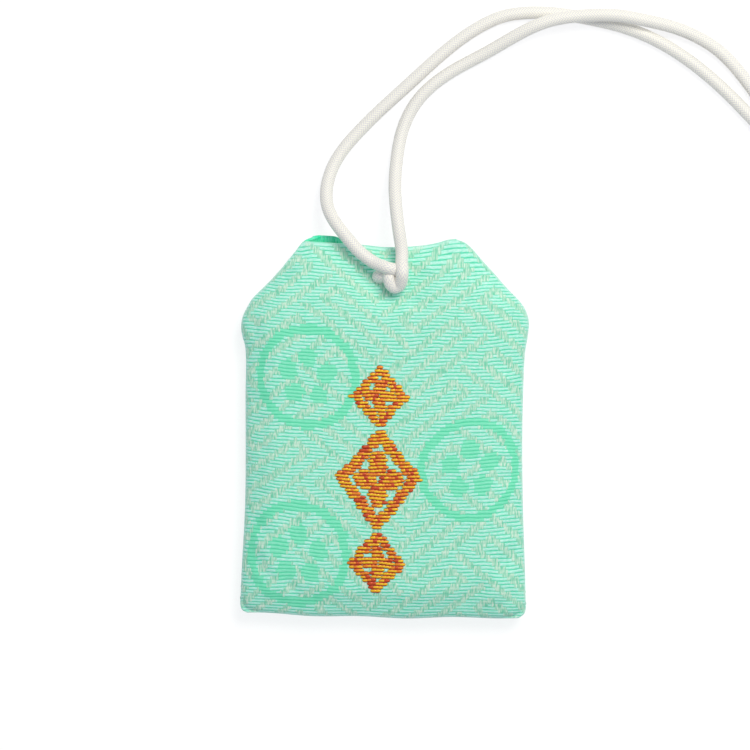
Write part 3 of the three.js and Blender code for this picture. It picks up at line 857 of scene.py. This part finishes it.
def cloth_spread(s, height, mouth):
    """How much further out the flat cloth reaches at each column than the filled pouch."""
    fine = np.linspace(0, 1, SECTION_STEPS)
    t = np.full(SECTION_STEPS, 0.5)
    x, y = weft_place(fine, t, mouth)
    return np.interp(s, fine, length_over(x, height(fine, t, x, y)) - (x - x[SECTION_STEPS // 2]))


def panel(name, height, mouth, out_z):
    """One panel of the pouch as a closed layer of cloth, woven row by row, with its face up or down."""
    row_t, row_y = weft_rows(height, mouth)
    even = np.linspace(0, 1, COLUMNS + 1)
    s, t = np.meshgrid(0.5 * even + 0.25 * (1 - np.cos(np.pi * even)), row_t)
    x, y = weft_place(s, t, mouth)
    z = height(s, t, x, y)
    share = pouch_share(s, t)
    wall = CLOTH_THICKNESS + (RIM_THICKNESS - CLOTH_THICKNESS) * smoothstep(share, *RIM_SPAN)
    wall += seam_reach * smoothstep(share, *SEAM_SPAN) * smoothstep(t, 1, MOUTH_OPEN)
    outer = np.stack([x, y, z], axis=-1)
    inner = np.stack([x, y, z - out_z * wall], axis=-1)
    laid_x = x + cloth_spread(s, height, mouth)
    laid_y = np.broadcast_to(row_y[:, None], x.shape)
    from_sides = np.minimum(laid_x - laid_x[:, :1], laid_x[:, -1:] - laid_x)
    from_ends = np.minimum(laid_y - row_y[0], row_y[-1] - laid_y)
    face = smoothstep(np.minimum(from_sides, from_ends), 0, RIM_FADE)
    laid = np.stack([out_z * laid_x, laid_y, face], axis=-1)
    if out_z < 0:
        outer, inner, laid = outer[:, ::-1], inner[:, ::-1], laid[:, ::-1]
    mesh, edge = closed_layer(name + "_flat", outer, inner, rounded_rim)
    laid = laid.reshape(-1, 3)
    turned = laid * (1, 1, 0)
    reverse = np.concatenate([np.zeros(x.size), np.ones(x.size), np.full(len(edge), RIM_REVERSE)])
    set_cloth(mesh, np.concatenate([laid, turned, turned[edge]]), reverse)
    woven = made_by(weave_relief, mesh, relief_sizes)
    return link_piece(name, woven, brocade)


front = panel("front_brocade", front_height, front_mouth, 1)
back = panel("back_brocade", back_height, back_mouth, -1)
for piece, node in ((front, "front_panel"), (back, "back_panel")):
    stand_in(piece, node, "pouch")


# Mouth hems and corner folds
# The turned-in edges of the same brocade: a hem sewn down inside each lip of the mouth, and the two upper
# corners of the cloth folded in behind the slanting shoulders.

TURNED_DEPTH = 0.75
HEM_THICKNESS = 0.4
HEM_GRID = (60, 30)
FOLD_TIP = 1.2
FOLD_GRID = (40, 50)


def box_corners(node):
    """The four corners of a CAD node seen from above."""
    low, high = box_mm(node)
    return [(low.x, low.y), (high.x, low.y), (high.x, high.y), (low.x, high.y)]


def inner_layer(name, corners, counts, height, out_z, thickness, material):
    """A layer of cloth inside the pouch that follows its face or its back, laid between four corners."""
    across, along = np.meshgrid(np.linspace(0, 1, counts[0]), np.linspace(0, 1, counts[1]))
    first, second, third, fourth = (np.array(corner) for corner in corners)
    foot = first + (second - first) * across[..., None]
    head = fourth + (third - fourth) * across[..., None]
    flat = foot + (head - foot) * along[..., None]
    x, y = flat[..., 0], flat[..., 1]
    left, right = edges_at(y)
    z = height((x - left) / (right - left), (y - foot_y) / (mouth_y - foot_y), x, y) - out_z * TURNED_DEPTH
    upper = np.stack([x, y, z if out_z > 0 else z + thickness], axis=-1)
    lower = np.stack([x, y, z - thickness if out_z > 0 else z], axis=-1)
    mesh, _ = closed_layer(name, upper, lower)
    laid = np.stack([x, y, np.zeros_like(x)], axis=-1).reshape(-1, 3)
    set_cloth(mesh, np.tile(laid, (2, 1)), np.ones(2 * x.size))
    return link_piece(name, mesh, material)


for name, node, height, out_z in (
    ("front_hem", "front_mouth_hem", front_height, 1),
    ("back_hem", "back_mouth_hem", back_height, -1),
):
    hem = inner_layer(name, box_corners(node), HEM_GRID, height, out_z, HEM_THICKNESS, brocade)
    stand_in(hem, node, "pouch")

for side, outer_side in (("left", -1), ("right", 1)):
    node = side + "_corner_fold"
    low, high = box_mm(node)
    inner_x, outer_x = (high.x, low.x) if outer_side < 0 else (low.x, high.x)
    tip = (inner_x + outer_side * FOLD_TIP, high.y - FOLD_TIP)
    corners = [(outer_x, low.y), (inner_x, low.y), (inner_x, high.y), tip]
    if outer_side > 0:
        corners = [corners[1], corners[0], corners[3], corners[2]]
    fold = inner_layer(side + "_fold", corners, FOLD_GRID, back_height, -1, HEM_THICKNESS, brocade)
    stand_in(fold, node, "pouch")


# Linings
# Matt off-white interlining, ironed onto the inside of each panel to keep the loose weave in shape.
# It stops short of the seams and of the shoulders, so that they fold flat.

LINING_THICKNESS = 0.3
LINING_GRID = (90, 94)

lining_shades = (paint(240, 242, 234), paint(222, 226, 216))
lining_cloth = felted_material("lining_cloth", 0.9, (3.0, 3.0, 3.0), lining_shades)

for side, height, out_z, behind in (("front", front_height, 1, front), ("back", back_height, -1, back)):
    name = side + "_interlining"
    corners = box_corners(side + "_lining")
    lining = inner_layer(name, corners, LINING_GRID, height, out_z, LINING_THICKNESS, lining_cloth)
    stand_in(lining, side + "_lining", "pouch")


# Seam thread
# Mint sewing thread in short slanting stitches that draw the two folded rims together.
# It runs down one side, along the foot and up the other side, and stops just under the shoulders.

STITCH_PITCH = 1.9
STITCH_HALF_HEIGHT = 0.42
STITCH_SLANT = 0.7
STITCH_BULGE = 0.25
STITCH_STEPS = 7
THREAD_RADIUS = 0.17
THREAD_SIDES = 6
SEAM_INSET = 0.42
SEAM_TOP_T = 0.76
SEAM_SIDE_POINTS = 90
SEAM_FOOT_POINTS = 60

thread_mint, tree, shader = new_material("thread_mint", {"Roughness": 0.6, "Sheen Weight": 0.2})
ply, _ = fibre_masks(tree, (6.0, 6.0, 14.0))
feed(shader, {"Base Color": mixed(ply, paint(134, 214, 178), paint(92, 180, 142))})


def line_mesh(name, points):
    """A line through points given in millimetres, for a tree to follow."""
    mesh = bpy.data.meshes.new(name)
    mesh.from_pydata((np.asarray(points) * mm).tolist(), [(n, n + 1) for n in range(len(points) - 1)], [])
    return mesh


def spaced_curve(line, step):
    """A mesh line as a curve of evenly spaced points."""
    curve = wire_from(line.tree, "GeometryNodeMeshToCurve", {"Mesh": line})
    return wire_from(line.tree, "GeometryNodeResampleCurve", {"Curve": curve, "Length": step}, mode="LENGTH")


def circle(tree, sides, radius):
    """The round section of a thread or a cord."""
    return wire_from(tree, "GeometryNodeCurvePrimitiveCircle", {"Resolution": sides, "Radius": radius})


stitch_sizes = {
    "Pitch": STITCH_PITCH * mm,
    "Half Height": STITCH_HALF_HEIGHT * mm,
    "Slant": STITCH_SLANT * mm,
    "Bulge": STITCH_BULGE * mm,
    "Thread Radius": THREAD_RADIUS * mm,
    "Thread": thread_mint,
}
seam_stitches, wire, out = geometry_tree("seam_stitches", stitch_sizes)
arc_points = {
    "Resolution": STITCH_STEPS,
    "Start": vector(seam_stitches, wire["Slant"] * -0.5, 0, wire["Half Height"] * -1),
    "Middle": vector(seam_stitches, 0, wire["Bulge"] * -2, 0),
    "End": vector(seam_stitches, wire["Slant"] * 0.5, 0, wire["Half Height"]),
}
arc = wire_from(seam_stitches, "GeometryNodeCurveQuadraticBezier", arc_points)
section = circle(seam_stitches, THREAD_SIDES, wire["Thread Radius"])
inputs = {"Curve": arc, "Profile Curve": section, "Fill Caps": True}
stitch = wire_from(seam_stitches, "GeometryNodeCurveToMesh", inputs)
tangent = {"Vector": wire_from(seam_stitches, "GeometryNodeInputTangent", {})}
turned = wire_from(seam_stitches, "FunctionNodeAlignRotationToVector", tangent, axis="X", pivot_axis="Z")
inputs = {"Points": spaced_curve(wire["Shape"], wire["Pitch"]), "Instance": stitch, "Rotation": turned}
end_tree(wire_from(seam_stitches, "GeometryNodeInstanceOnPoints", inputs), wire["Thread"], out)

down_side = np.linspace(SEAM_TOP_T, 0, SEAM_SIDE_POINTS)
across_foot = np.linspace(0, 1, SEAM_FOOT_POINTS)[1:-1]
seam_s = np.concatenate([down_side * 0, across_foot, down_side * 0 + 1])
seam_t = np.concatenate([down_side, across_foot * 0, down_side[::-1]])
seam_x, seam_y = weft_place(seam_s, seam_t, front_mouth)
inset = 1 - SEAM_INSET / np.hypot(seam_x, seam_y)
seam_line = np.stack([seam_x * inset, seam_y * inset, np.full(len(inset), seam_z)], axis=-1)
seam_mesh = made_by(seam_stitches, line_mesh("seam_line", seam_line), stitch_sizes)
seam_mesh.shade_smooth()
stand_in(link_piece("seam_stitches", seam_mesh, thread_mint), "seam_thread", "pouch")


# Gold weft ornament
# A column of lozenge flowers in gold and russet weft, floated over the face and bound down thread by thread.
# It is woven in with the brocade, so each float lies in the row of a rib.

ORNAMENT_MIDDLE = (-0.9, -8.0)
ORNAMENT_SPACE = (15.0, 38.0)
FLOAT_SPACING = 0.55
FLOAT_LENGTH = 1.2
FLOAT_WIDTH = 0.64
FLOAT_HEIGHT = 0.22
FLOAT_SEGMENTS = 12
FLOAT_RINGS = 6
FLOAT_LEAST = (0.85, 0.9, 0.85)
FLOAT_MOST = (1.2, 1.1, 1.1)
FLOAT_SEED = 7
ORANGE_FROM = 0.62
RUSSET_FROM = 0.9

# Half width and half height of a lozenge, and its frame's share of them
LARGE_LOZENGE = (6.9, 8.3, 0.27)
SMALL_LOZENGE = (4.6, 5.1, 0.32)
SMALL_LOZENGE_RISE = 13.3
FLOWER_REACH = 0.31
FLOWER_PETAL_LENGTH = 0.25
FLOWER_PETAL_WIDTH = 0.18

gold_weft, tree, shader = new_material("gold_weft", {"Metallic": 0.3, "Specular IOR Level": 0.6})
dye = shown_on(tree, "dye", "Fac")
twist, _ = fibre_masks(tree, (5.0, 5.0, 5.0))
gold = mixed(twist, paint(255, 214, 24), paint(244, 176, 12))
orange = mixed(twist, paint(246, 160, 20), paint(232, 120, 16))
gold = mixed(dye > ORANGE_FROM, gold, orange)
gold = mixed(dye > RUSSET_FROM, gold, paint(206, 74, 16))
# Painted shade: each float turns from gold in its middle to a dark russet towards its two sides.
painted_float_side_shade = shown_on(tree, "middle", "Fac").smooth(0.8, 0.3)
feed(shader, {"Base Color": mixed(painted_float_side_shade, gold, paint(178, 52, 14)), "Roughness": twist * 0.2 + 0.34})


def lozenge_flower(x, y, half_width, half_height, band):
    """Mask of a lozenge frame, as wide as its band, round a four-petalled flower."""
    across, along = abs(x / half_width), abs(y / half_height)

    def petal(out, side):
        reach = ((out - FLOWER_REACH) / FLOWER_PETAL_LENGTH) ** 2.0
        return reach + (side / FLOWER_PETAL_WIDTH) ** 2.0 < 1

    return (across + along).within(1 - band, 1.0) | petal(across, along) | petal(along, across)


def stored(shape, name, value, domain="POINT"):
    """A shape that keeps a value under a name."""
    inputs = {"Geometry": shape, "Name": name, "Value": value}
    return wire_from(shape.tree, "GeometryNodeStoreNamedAttribute", inputs, domain=domain)


float_sizes = {
    "Float Size": (FLOAT_LENGTH * mm, FLOAT_WIDTH * mm, FLOAT_HEIGHT * mm),
    "Seed": FLOAT_SEED,
    "Gold": gold_weft,
}
gold_floats, wire, out = geometry_tree("gold_floats", float_sizes)
cloth_x, cloth_y, _ = kept_on(gold_floats, "cloth", "FLOAT_VECTOR").xyz()
x = cloth_x - ORNAMENT_MIDDLE[0]
y = cloth_y - ORNAMENT_MIDDLE[1]
figure = lozenge_flower(x, y, *LARGE_LOZENGE)
for rise in (-SMALL_LOZENGE_RISE, SMALL_LOZENGE_RISE):
    figure = figure | lozenge_flower(x, y - rise, *SMALL_LOZENGE)
bed = wire_from(gold_floats, "GeometryNodeDeleteGeometry", {0: wire["Shape"], "Selection": figure < 0.5})
inputs = {"Segments": FLOAT_SEGMENTS, "Rings": FLOAT_RINGS, "Radius": 0.5}
ball = wire_from(gold_floats, "GeometryNodeMeshUVSphere", inputs)
# How near the middle of a float's width each point lies, for the painted shade on its sides.
side = wire_from(gold_floats, "GeometryNodeInputPosition", {}).xyz()[1] * 2
ball = stored(ball, "middle", 1 - abs(side))
inputs = {"Min": FLOAT_LEAST, "Max": FLOAT_MOST, "Seed": wire["Seed"]}
stretch = wire_from(gold_floats, "FunctionNodeRandomValue", inputs, data_type="FLOAT_VECTOR")
inputs = {"Points": bed, "Instance": ball, "Scale": wire["Float Size"].times(stretch)}
floats = wire_from(gold_floats, "GeometryNodeInstanceOnPoints", inputs)
inputs = {2: 0.0, 3: 1.0, "Seed": wire["Seed"] + 1}
dyed = wire_from(gold_floats, "FunctionNodeRandomValue", inputs, 1, data_type="FLOAT")
end_tree(stored(floats, "dye", dyed, "INSTANCE"), wire["Gold"], out)

ribs = np.arange(*np.round((ORNAMENT_MIDDLE[1] + np.array([-0.5, 0.5]) * ORNAMENT_SPACE[1]) / RIB_PITCH))
steps = np.arange(-ORNAMENT_SPACE[0] / 2, ORNAMENT_SPACE[0] / 2, FLOAT_SPACING)
place_x, rib = np.meshgrid(ORNAMENT_MIDDLE[0] + steps, ribs)
place_x = place_x + (rib % 2) * FLOAT_SPACING / 2
row = (rib + 0.5) * RIB_PITCH
row_t, row_y = weft_rows(front_height, front_mouth)
t = np.interp(row, row_y, row_t)
left, right = edges_at(foot_y + t * (mouth_y - foot_y))
s = (place_x - left) / (right - left)
x, y = weft_place(s, t, front_mouth)
bed_mesh = smooth_mesh("float_bed", np.stack([x, y, front_height(s, t, x, y)], axis=-1).reshape(-1, 3), [])
keep_vectors(bed_mesh, "cloth", np.stack([x, row, 0 * row], axis=-1))
ornament_mesh = made_by(gold_floats, bed_mesh, float_sizes)
ornament_mesh.shade_smooth()
ornament = link_piece("gold_ornament", ornament_mesh, gold_weft)
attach(ornament, "pouch")


# Braided cord
# One ivory round braid of silky yarn, stitched through two awl holes under the mouth, hitched on the face
# and laid out in a loop whose two ends are tied together in one overhand knot.

CORD_DIAMETER = 2.0
BRAID_PROUD = 0.04
CORD_SIDES = 60
CORD_STEP = 0.1
BRAID_ENDS = 14
BRAID_PITCH = 0.46
BRAID_RELIEF = 0.1
YARN_ROUND = 0.9
YARN_DIP = 0.3
FILAMENT_TURN = 9
CORD_LYING_Z = 1.1
CORD_ROOT_RISE = 5.85
CORD_CROSSING_RISE = 2.3
LEFT_ROOT = (-2.3, 26.55, 6.95)
RIGHT_ROOT = (2.2, 26.55, 7.4)
ROUTE_POINTS = 1500
BACK_STITCH_POINTS = 200
PATH_STEP = 10

# The stitch behind the pouch, and where and how far its bar is pressed flat
BACK_STITCH = [
    (-1.2, 24.1, 4.25), (-1.2, 24.1, 3.2), (-1.15, 24.1, 2), (-0.6, 24.1, 1.05), (0.5, 24.1, 0.85),
    (1.6, 24.1, 1.05), (2.15, 24.1, 2), (2.2, 24.1, 3.2), (2.2, 24.1, 4.25),
]
BAR_LEVEL = 0.85
BAR_FLATNESS = 0.5
BAR_SPAN = (2.6, 1.2)

# The hitch from each awl hole up to the strand, as x, y and height
LEFT_HITCH = [
    (-1.25, 24.15, 4.3), (-1.5, 24.35, 5.2), (-0.9, 24.45, 5.85), (0.2, 24.3, 6), (1.2, 24.3, 6.05),
    (2.05, 24.7, 6.2), (1.75, 25.2, 6.75), (0.9, 25.45, 7.5), (0, 25.65, 7.85), (-1, 26, 7.55),
    (-1.7, 26.28, 7.2),
]
RIGHT_HITCH = [
    (2.2, 23.95, 3.3), (2.15, 24.1, 4.3), (1.9, 24.6, 4.9), (1.2, 25.2, 5.4), (0.45, 25.35, 6),
    (0.2, 24.8, 6.6), (0.25, 24, 7.2), (0.45, 23.2, 7.1), (1.15, 22.62, 6.8), (1.85, 22.95, 7),
    (2.2, 23.8, 7.7), (2.3, 24.8, 8.3), (2.28, 25.7, 8.1),
]

# The free strands from the hitch to the knot: x and y from between the awl holes, how far the strand is
# still lifted by the pouch, and how far by the other strand under it
LEFT_ROUTE = [
    (-5.1, 4.1, 0.98, 0), (-7.2, 6.4, 0.9, 0), (-9.4, 9.1, 0.76, 0), (-10.6, 11.4, 0.57, 0),
    (-10.8, 13.8, 0.39, 0), (-10.2, 17, 0.2, 0), (-8.6, 20.3, 0.07, 0), (-5.9, 23.5, 0, 0),
    (-2.3, 27.3, 0, 0), (1.3, 30.6, 0, 0), (5, 34.2, 0, 0), (9.6, 38.4, 0, 0), (13.3, 41, 0, 0),
    (16.9, 42.9, 0, 0), (19.3, 43.4, 0, 0), (23.5, 43.7, 0, 0), (26.4, 43.5, 0, 0), (30.2, 43, 0, 0),
    (33.7, 42.3, 0, 0), (36.2, 41.8, 0, 0), (40.9, 40.2, 0, 0), (45.5, 37.8, 0, 0), (50.2, 34.5, 0, 0),
    (54.1, 31.1, 0, 0), (57.4, 27.8, 0.02, 0),
]
RIGHT_ROUTE = [
    (1.7, 4.2, 0.99, 0), (1.1, 7.9, 0.95, 0), (0.6, 11.6, 0.78, 0), (0.3, 15.3, 0.53, 0),
    (0.6, 19, 0.27, 0), (1, 22.7, 0.09, 0), (2.2, 26.4, 0, 0), (4.2, 29.7, 0, 0), (7.4, 32.6, 0, 0),
    (11, 34.9, 0, 0), (14.7, 36.8, 0, 0.16), (18.8, 39.3, 0, 0.6), (22.9, 41.5, 0, 0.97),
    (26.5, 42.6, 0, 1), (30.8, 43.1, 0, 1), (35.2, 43.3, 0, 1), (38.1, 42.9, 0, 0.95),
    (41, 42.4, 0, 0.72), (45.7, 41.5, 0, 0.33), (50.3, 39.5, 0, 0.08), (53.5, 37.3, 0, 0),
    (57.3, 32.9, 0, 0), (60.4, 28.6, 0.02, 0),
]
LEFT_STRAND_LENGTH = 107 * mm
RIGHT_STRAND_LENGTH = 98.5 * mm

# How many points of a route, and from how far off its two ends, the cord's stiffness smooths
EASE_POINTS = 81
EASE_SPAN = (3.0, 14.0)

# The end knot: an overhand knot tied in both strands side by side, with two cut tails
KNOT_PLACE = np.array([63.2, 47.7])
KNOT_HEADING = math.radians(-49)
KNOT_MIDDLE = 4.2
KNOT_HEIGHT = 2.35
KNOT_STRAND_GAP = 0.95
KNOT_ENTRY_Z = 1.75
KNOT_TURN = 2.25
KNOT_TIED = 1.9
KNOT_POINTS = 61
KNOT_SIZE = (0.92, 0.75, 0.65)
TAIL_LENGTH = 9.0
TAIL_SPREAD = 2.2
TAIL_STEPS = (0.35, 0.7, 1.0)
SEAL_LENGTH = 0.7
SEAL_DRAW = 0.85


def strand_points(route):
    """The places of a free strand over the table."""
    dx, dy, lift, over = np.array(route).T
    z = CORD_LYING_Z + lift * CORD_ROOT_RISE + over * CORD_CROSSING_RISE
    return np.stack([HITCH_PLACE[0] + dx, HITCH_PLACE[1] + dy, z], axis=-1).tolist()


def by_knot(along, across, z):
    """A place given along and across the knot."""
    forward = np.array([math.cos(KNOT_HEADING), math.sin(KNOT_HEADING)])
    sideways = np.array([-forward[1], forward[0]])
    return (*(KNOT_PLACE + along * forward + across * sideways), z)


def knot_points(side):
    """One of the two strands through the overhand knot, and its tail."""
    turn = np.linspace(-KNOT_TURN, KNOT_TURN, KNOT_POINTS)
    tied = 1 - smoothstep(np.abs(turn), KNOT_TIED, KNOT_TURN)
    along = KNOT_SIZE[0] * (turn**3 - 3 * turn)
    across = KNOT_SIZE[1] * (turn**4 - 4 * turn**2 + 2) * tied
    height = KNOT_SIZE[2] * (turn**5 / 5 - 2 * turn) * tied
    slope_x, slope_y = np.gradient(along), np.gradient(across)
    length = np.hypot(slope_x, slope_y)
    along = along - side * KNOT_STRAND_GAP * slope_y / length
    across = across + side * KNOT_STRAND_GAP * slope_x / length
    height = KNOT_HEIGHT + height - (KNOT_HEIGHT - KNOT_ENTRY_Z) * (1 - tied)
    tied_part = [by_knot(KNOT_MIDDLE + a, b, z) for a, b, z in zip(along, across, height)]
    far = 2 * KNOT_MIDDLE
    tail = [
        by_knot(far + TAIL_LENGTH * share, side * (KNOT_STRAND_GAP + TAIL_SPREAD * share**2), CORD_LYING_Z)
        for share in TAIL_STEPS
    ]
    return tied_part + tail


def braid(around, length):
    """How high the yarn on top stands at a place of the braid, and where that yarn is cut across."""
    ends, winding = around * BRAID_ENDS, length / BRAID_PITCH
    along, across = twilled(ends - winding, ends + winding)
    along, across = along - 1, across * 2 - 1
    crown = (1 - across * across * YARN_ROUND).math("SQRT")
    return crown * (1 - along * along * along * along * YARN_DIP), across


cord_yarn, tree, shader = new_material(
    "cord_yarn", {"Sheen Weight": 0.3, "Sheen Roughness": 0.35, "Specular IOR Level": 0.4}
)
cosine, sine, length = shown_on(tree, "braid", "Vector").xyz()
crown, across = braid(sine.math("ARCTAN2", cosine) / (2 * math.pi), length)
filaments = (across * FILAMENT_TURN).wave()
silk = mixed(filaments * 0.25, paint(251, 249, 239), paint(239, 236, 224))
# Painted shade: where the yarn's crown is low, in the grooves of the braid, the colour turns to a darker
# lavender grey.
yarn_colour = mixed(crown.smooth(0.92, 0.3), silk, paint(207, 205, 219))
feed(shader, {"Base Color": yarn_colour, "Roughness": filaments * 0.12 + 0.42})

braid_sizes = {
    "Radius": (CORD_DIAMETER / 2 + BRAID_PROUD) * mm,
    "Sides": CORD_SIDES,
    "Step": CORD_STEP * mm,
    "Relief": BRAID_RELIEF * mm,
    "Yarn": cord_yarn,
}
braid_tree, wire, out = geometry_tree("round_braid", braid_sizes)
passed = wire_from(braid_tree, "GeometryNodeSplineParameter", {}, "Length")
around = wire_from(braid_tree, "GeometryNodeSplineParameter", {}, "Factor")
route = stored(spaced_curve(wire["Shape"], wire["Step"]), "passed", passed)
section = stored(circle(braid_tree, wire["Sides"], wire["Radius"]), "around", around)
tube = wire_from(braid_tree, "GeometryNodeCurveToMesh", {"Curve": route, "Profile Curve": section})
crown, _ = braid(kept_on(braid_tree, "around", "FLOAT"), kept_on(braid_tree, "passed", "FLOAT") / mm)
end_tree(moved_out(tube, (crown - 1) * wire["Relief"]), wire["Yarn"], out)


def braided(points):
    """A length of braid along a route: its rings of points, and how much cord has passed at each ring."""
    mesh = made_by(braid_tree, line_mesh("route", points), braid_sizes)
    passed = np.empty(len(mesh.vertices))
    mesh.attributes["passed"].data.foreach_get("value", passed)
    return mesh_points(mesh).reshape(-1, CORD_SIDES, 3) / mm, passed.reshape(-1, CORD_SIDES)[:, 0] / mm


def cord_piece(name, lengths):
    """A piece of cord from one or more lengths of braid, each capped at both its ends."""
    points, faces, marks = [], [], []
    start = 0
    turn = np.linspace(0, 2 * math.pi, CORD_SIDES, endpoint=False)
    for rings, passed in lengths:
        count = len(rings)
        rows = start + np.arange(count * CORD_SIDES).reshape(count, CORD_SIDES)
        wrapped = np.concatenate([rows, rows[:, :1]], axis=1)
        quads = [wrapped[:-1, :-1], wrapped[:-1, 1:], wrapped[1:, 1:], wrapped[1:, :-1]]
        faces += np.stack(quads, axis=-1).reshape(-1, 4).tolist()
        faces += [rows[0, ::-1].tolist(), rows[-1].tolist()]
        mark = np.broadcast_arrays(np.cos(turn), np.sin(turn), passed[:, None])
        points.append(rings.reshape(-1, 3))
        marks.append(np.stack(mark, axis=-1).reshape(-1, 3))
        start += count * CORD_SIDES
    mesh = smooth_mesh(name, np.concatenate(points), faces)
    keep_vectors(mesh, "braid", np.concatenate(marks))
    return link_piece(name, mesh, cord_yarn)


def cut_at(route, place):
    """How much of a route has passed where it comes closest to a place."""
    return length_along(route)[np.argmin(np.linalg.norm(route - np.array(place), axis=1))]


def eased(route, root, knot):
    """A route smoothed by the cord's own stiffness, where neither the hitch nor the knot holds it."""
    window = np.hanning(EASE_POINTS + 2)[1:-1]
    padded = np.pad(route, ((EASE_POINTS // 2, EASE_POINTS // 2), (0, 0)), mode="edge")
    smooth = np.stack([np.convolve(axis, window / window.sum(), "valid") for axis in padded.T], axis=-1)
    passed = length_along(route)
    from_root, from_knot = passed - cut_at(route, root), cut_at(route, knot) - passed
    free = smoothstep(np.minimum(from_root, from_knot), *EASE_SPAN)
    return route + (smooth - route) * free[:, None]


def sealed(rings, passed):
    """A length of braid with its last end drawn in, as heat leaves it."""
    left_over = np.clip((passed[-1] - passed) / SEAL_LENGTH, 0, 1)
    middle = rings.mean(axis=1, keepdims=True)
    return middle + (rings - middle) * np.sqrt(1 - SEAL_DRAW * (1 - left_over) ** 2)[:, None, None]


rings, passed = braided(through(BACK_STITCH, BACK_STITCH_POINTS))
pressed_z = BAR_LEVEL + (rings[..., 2] - BAR_LEVEL) * BAR_FLATNESS
rings[..., 2] += (pressed_z - rings[..., 2]) * smoothstep(rings[..., 2], *BAR_SPAN)
back_stitch = cord_piece("back_stitch", [(rings, passed)])
stand_in(back_stitch, "cord_back_stitch", "pouch")

hitch_lengths, knot_lengths, strands = [], [], {}
for label, hitch_route, root, strand_route, side in (
    ("left", LEFT_HITCH, LEFT_ROOT, LEFT_ROUTE, -1),
    ("right", RIGHT_HITCH, RIGHT_ROOT, RIGHT_ROUTE, 1),
):
    places = [*hitch_route, root, *strand_points(strand_route), *knot_points(side)]
    knot = by_knot(0, side * KNOT_STRAND_GAP, KNOT_ENTRY_Z)
    line = eased(through(places, ROUTE_POINTS), root, knot)
    line[:, 2] = np.maximum(line[:, 2], CORD_LYING_Z)
    rings, passed = braided(line)
    rings = sealed(rings, passed)
    first, last = np.searchsorted(passed, [cut_at(line, root), cut_at(line, knot)])
    hitch_lengths.append((rings[: first + 1], passed[: first + 1]))
    knot_lengths.append((rings[last:], passed[last:]))
    strand = cord_piece(label + "_strand", [(rings[first : last + 1], passed[first : last + 1])])
    strands[label] = (strand, rings[first : last + 1 : PATH_STEP].mean(axis=1) * mm)

hitch = cord_piece("hitch", hitch_lengths)
stand_in(hitch, "cord_hitch", "hitch")
end_knot = cord_piece("end_knot", knot_lengths)
stand_in(end_knot, "cord_end_knot", "loop")

for label, length, pieces_on_it in (
    ("left", LEFT_STRAND_LENGTH, [end_knot]),
    ("right", RIGHT_STRAND_LENGTH, []),
):
    strand, middle_line = strands[label]
    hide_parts(f"cord_{label}_strand")
    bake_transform(strand)


# Table, light and camera
# A plain white table under soft daylight from the upper right, seen from straight above.
# Its glow, seen only by the eye and in mirrors, makes it white, lights nothing and keeps the shadow.

CAMERA_HEIGHT = 600 * mm
FRAME_WIDTH = 121 * mm
FRAME_MIDDLE = (-1.74 * mm, 8.47 * mm)
SIGHT_LEVEL = 4 * mm
CHARM_TURN = math.radians(1.1)
SENSOR = 36.0
TABLE_REACH = 20.0
TABLE_GLOW = 0.78
SKY_LEVEL = 0.5
SKY_COLOUR = (0.87, 0.91, 1.0, 1.0)
WINDOW_POWER = 1.0
WINDOW_SIZE = 0.2
WINDOW_COLOUR = (1.0, 0.965, 0.85)
WINDOW_PLACE = (0.11, 0.2, 0.34)

scene = bpy.context.scene
scene.view_settings.view_transform = "Standard"
camera_data = bpy.data.cameras.new("camera")
camera_data.sensor_width = SENSOR
camera_data.lens = SENSOR * (CAMERA_HEIGHT - SIGHT_LEVEL) / FRAME_WIDTH
camera_data.clip_start = 0.01
camera = placed("camera", camera_data)
camera.location = (*FRAME_MIDDLE, CAMERA_HEIGHT)
camera.rotation_euler = (0, 0, CHARM_TURN)
scene.camera = camera

table_white, tree, shader = new_material("table_white", {"Roughness": 0.9, "Emission Color": (1, 1, 1, 1)})
path = tree.nodes.new("ShaderNodeLightPath")
seen = Wire(path.outputs["Is Camera Ray"])
for ray in ("Is Glossy Ray", "Is Transmission Ray"):
    seen = seen | Wire(path.outputs[ray])
table_colour = mixed(seen, paint(250, 250, 250), paint(150, 150, 152))
feed(shader, {"Base Color": table_colour, "Emission Strength": seen * TABLE_GLOW})
table_mesh = bpy.data.meshes.new("table")
table_corners = [(x * TABLE_REACH, y * TABLE_REACH, 0) for x, y in ((-1, -1), (1, -1), (1, 1), (-1, 1))]
table_mesh.from_pydata(table_corners, [], [(0, 1, 2, 3)])
link_piece("table", table_mesh, table_white)

world = bpy.data.worlds.new("daylight")
world.use_nodes = True
feed(world.node_tree.nodes["Background"], {"Color": SKY_COLOUR, "Strength": SKY_LEVEL})
scene.world = world
window_data = bpy.data.lights.new("window", "AREA")
window_data.energy = WINDOW_POWER
window_data.size = WINDOW_SIZE
window_data.color = WINDOW_COLOUR
window = placed("window", window_data)
window.location = WINDOW_PLACE
window.rotation_euler = (-window.location).to_track_quat("-Z", "Y").to_euler()
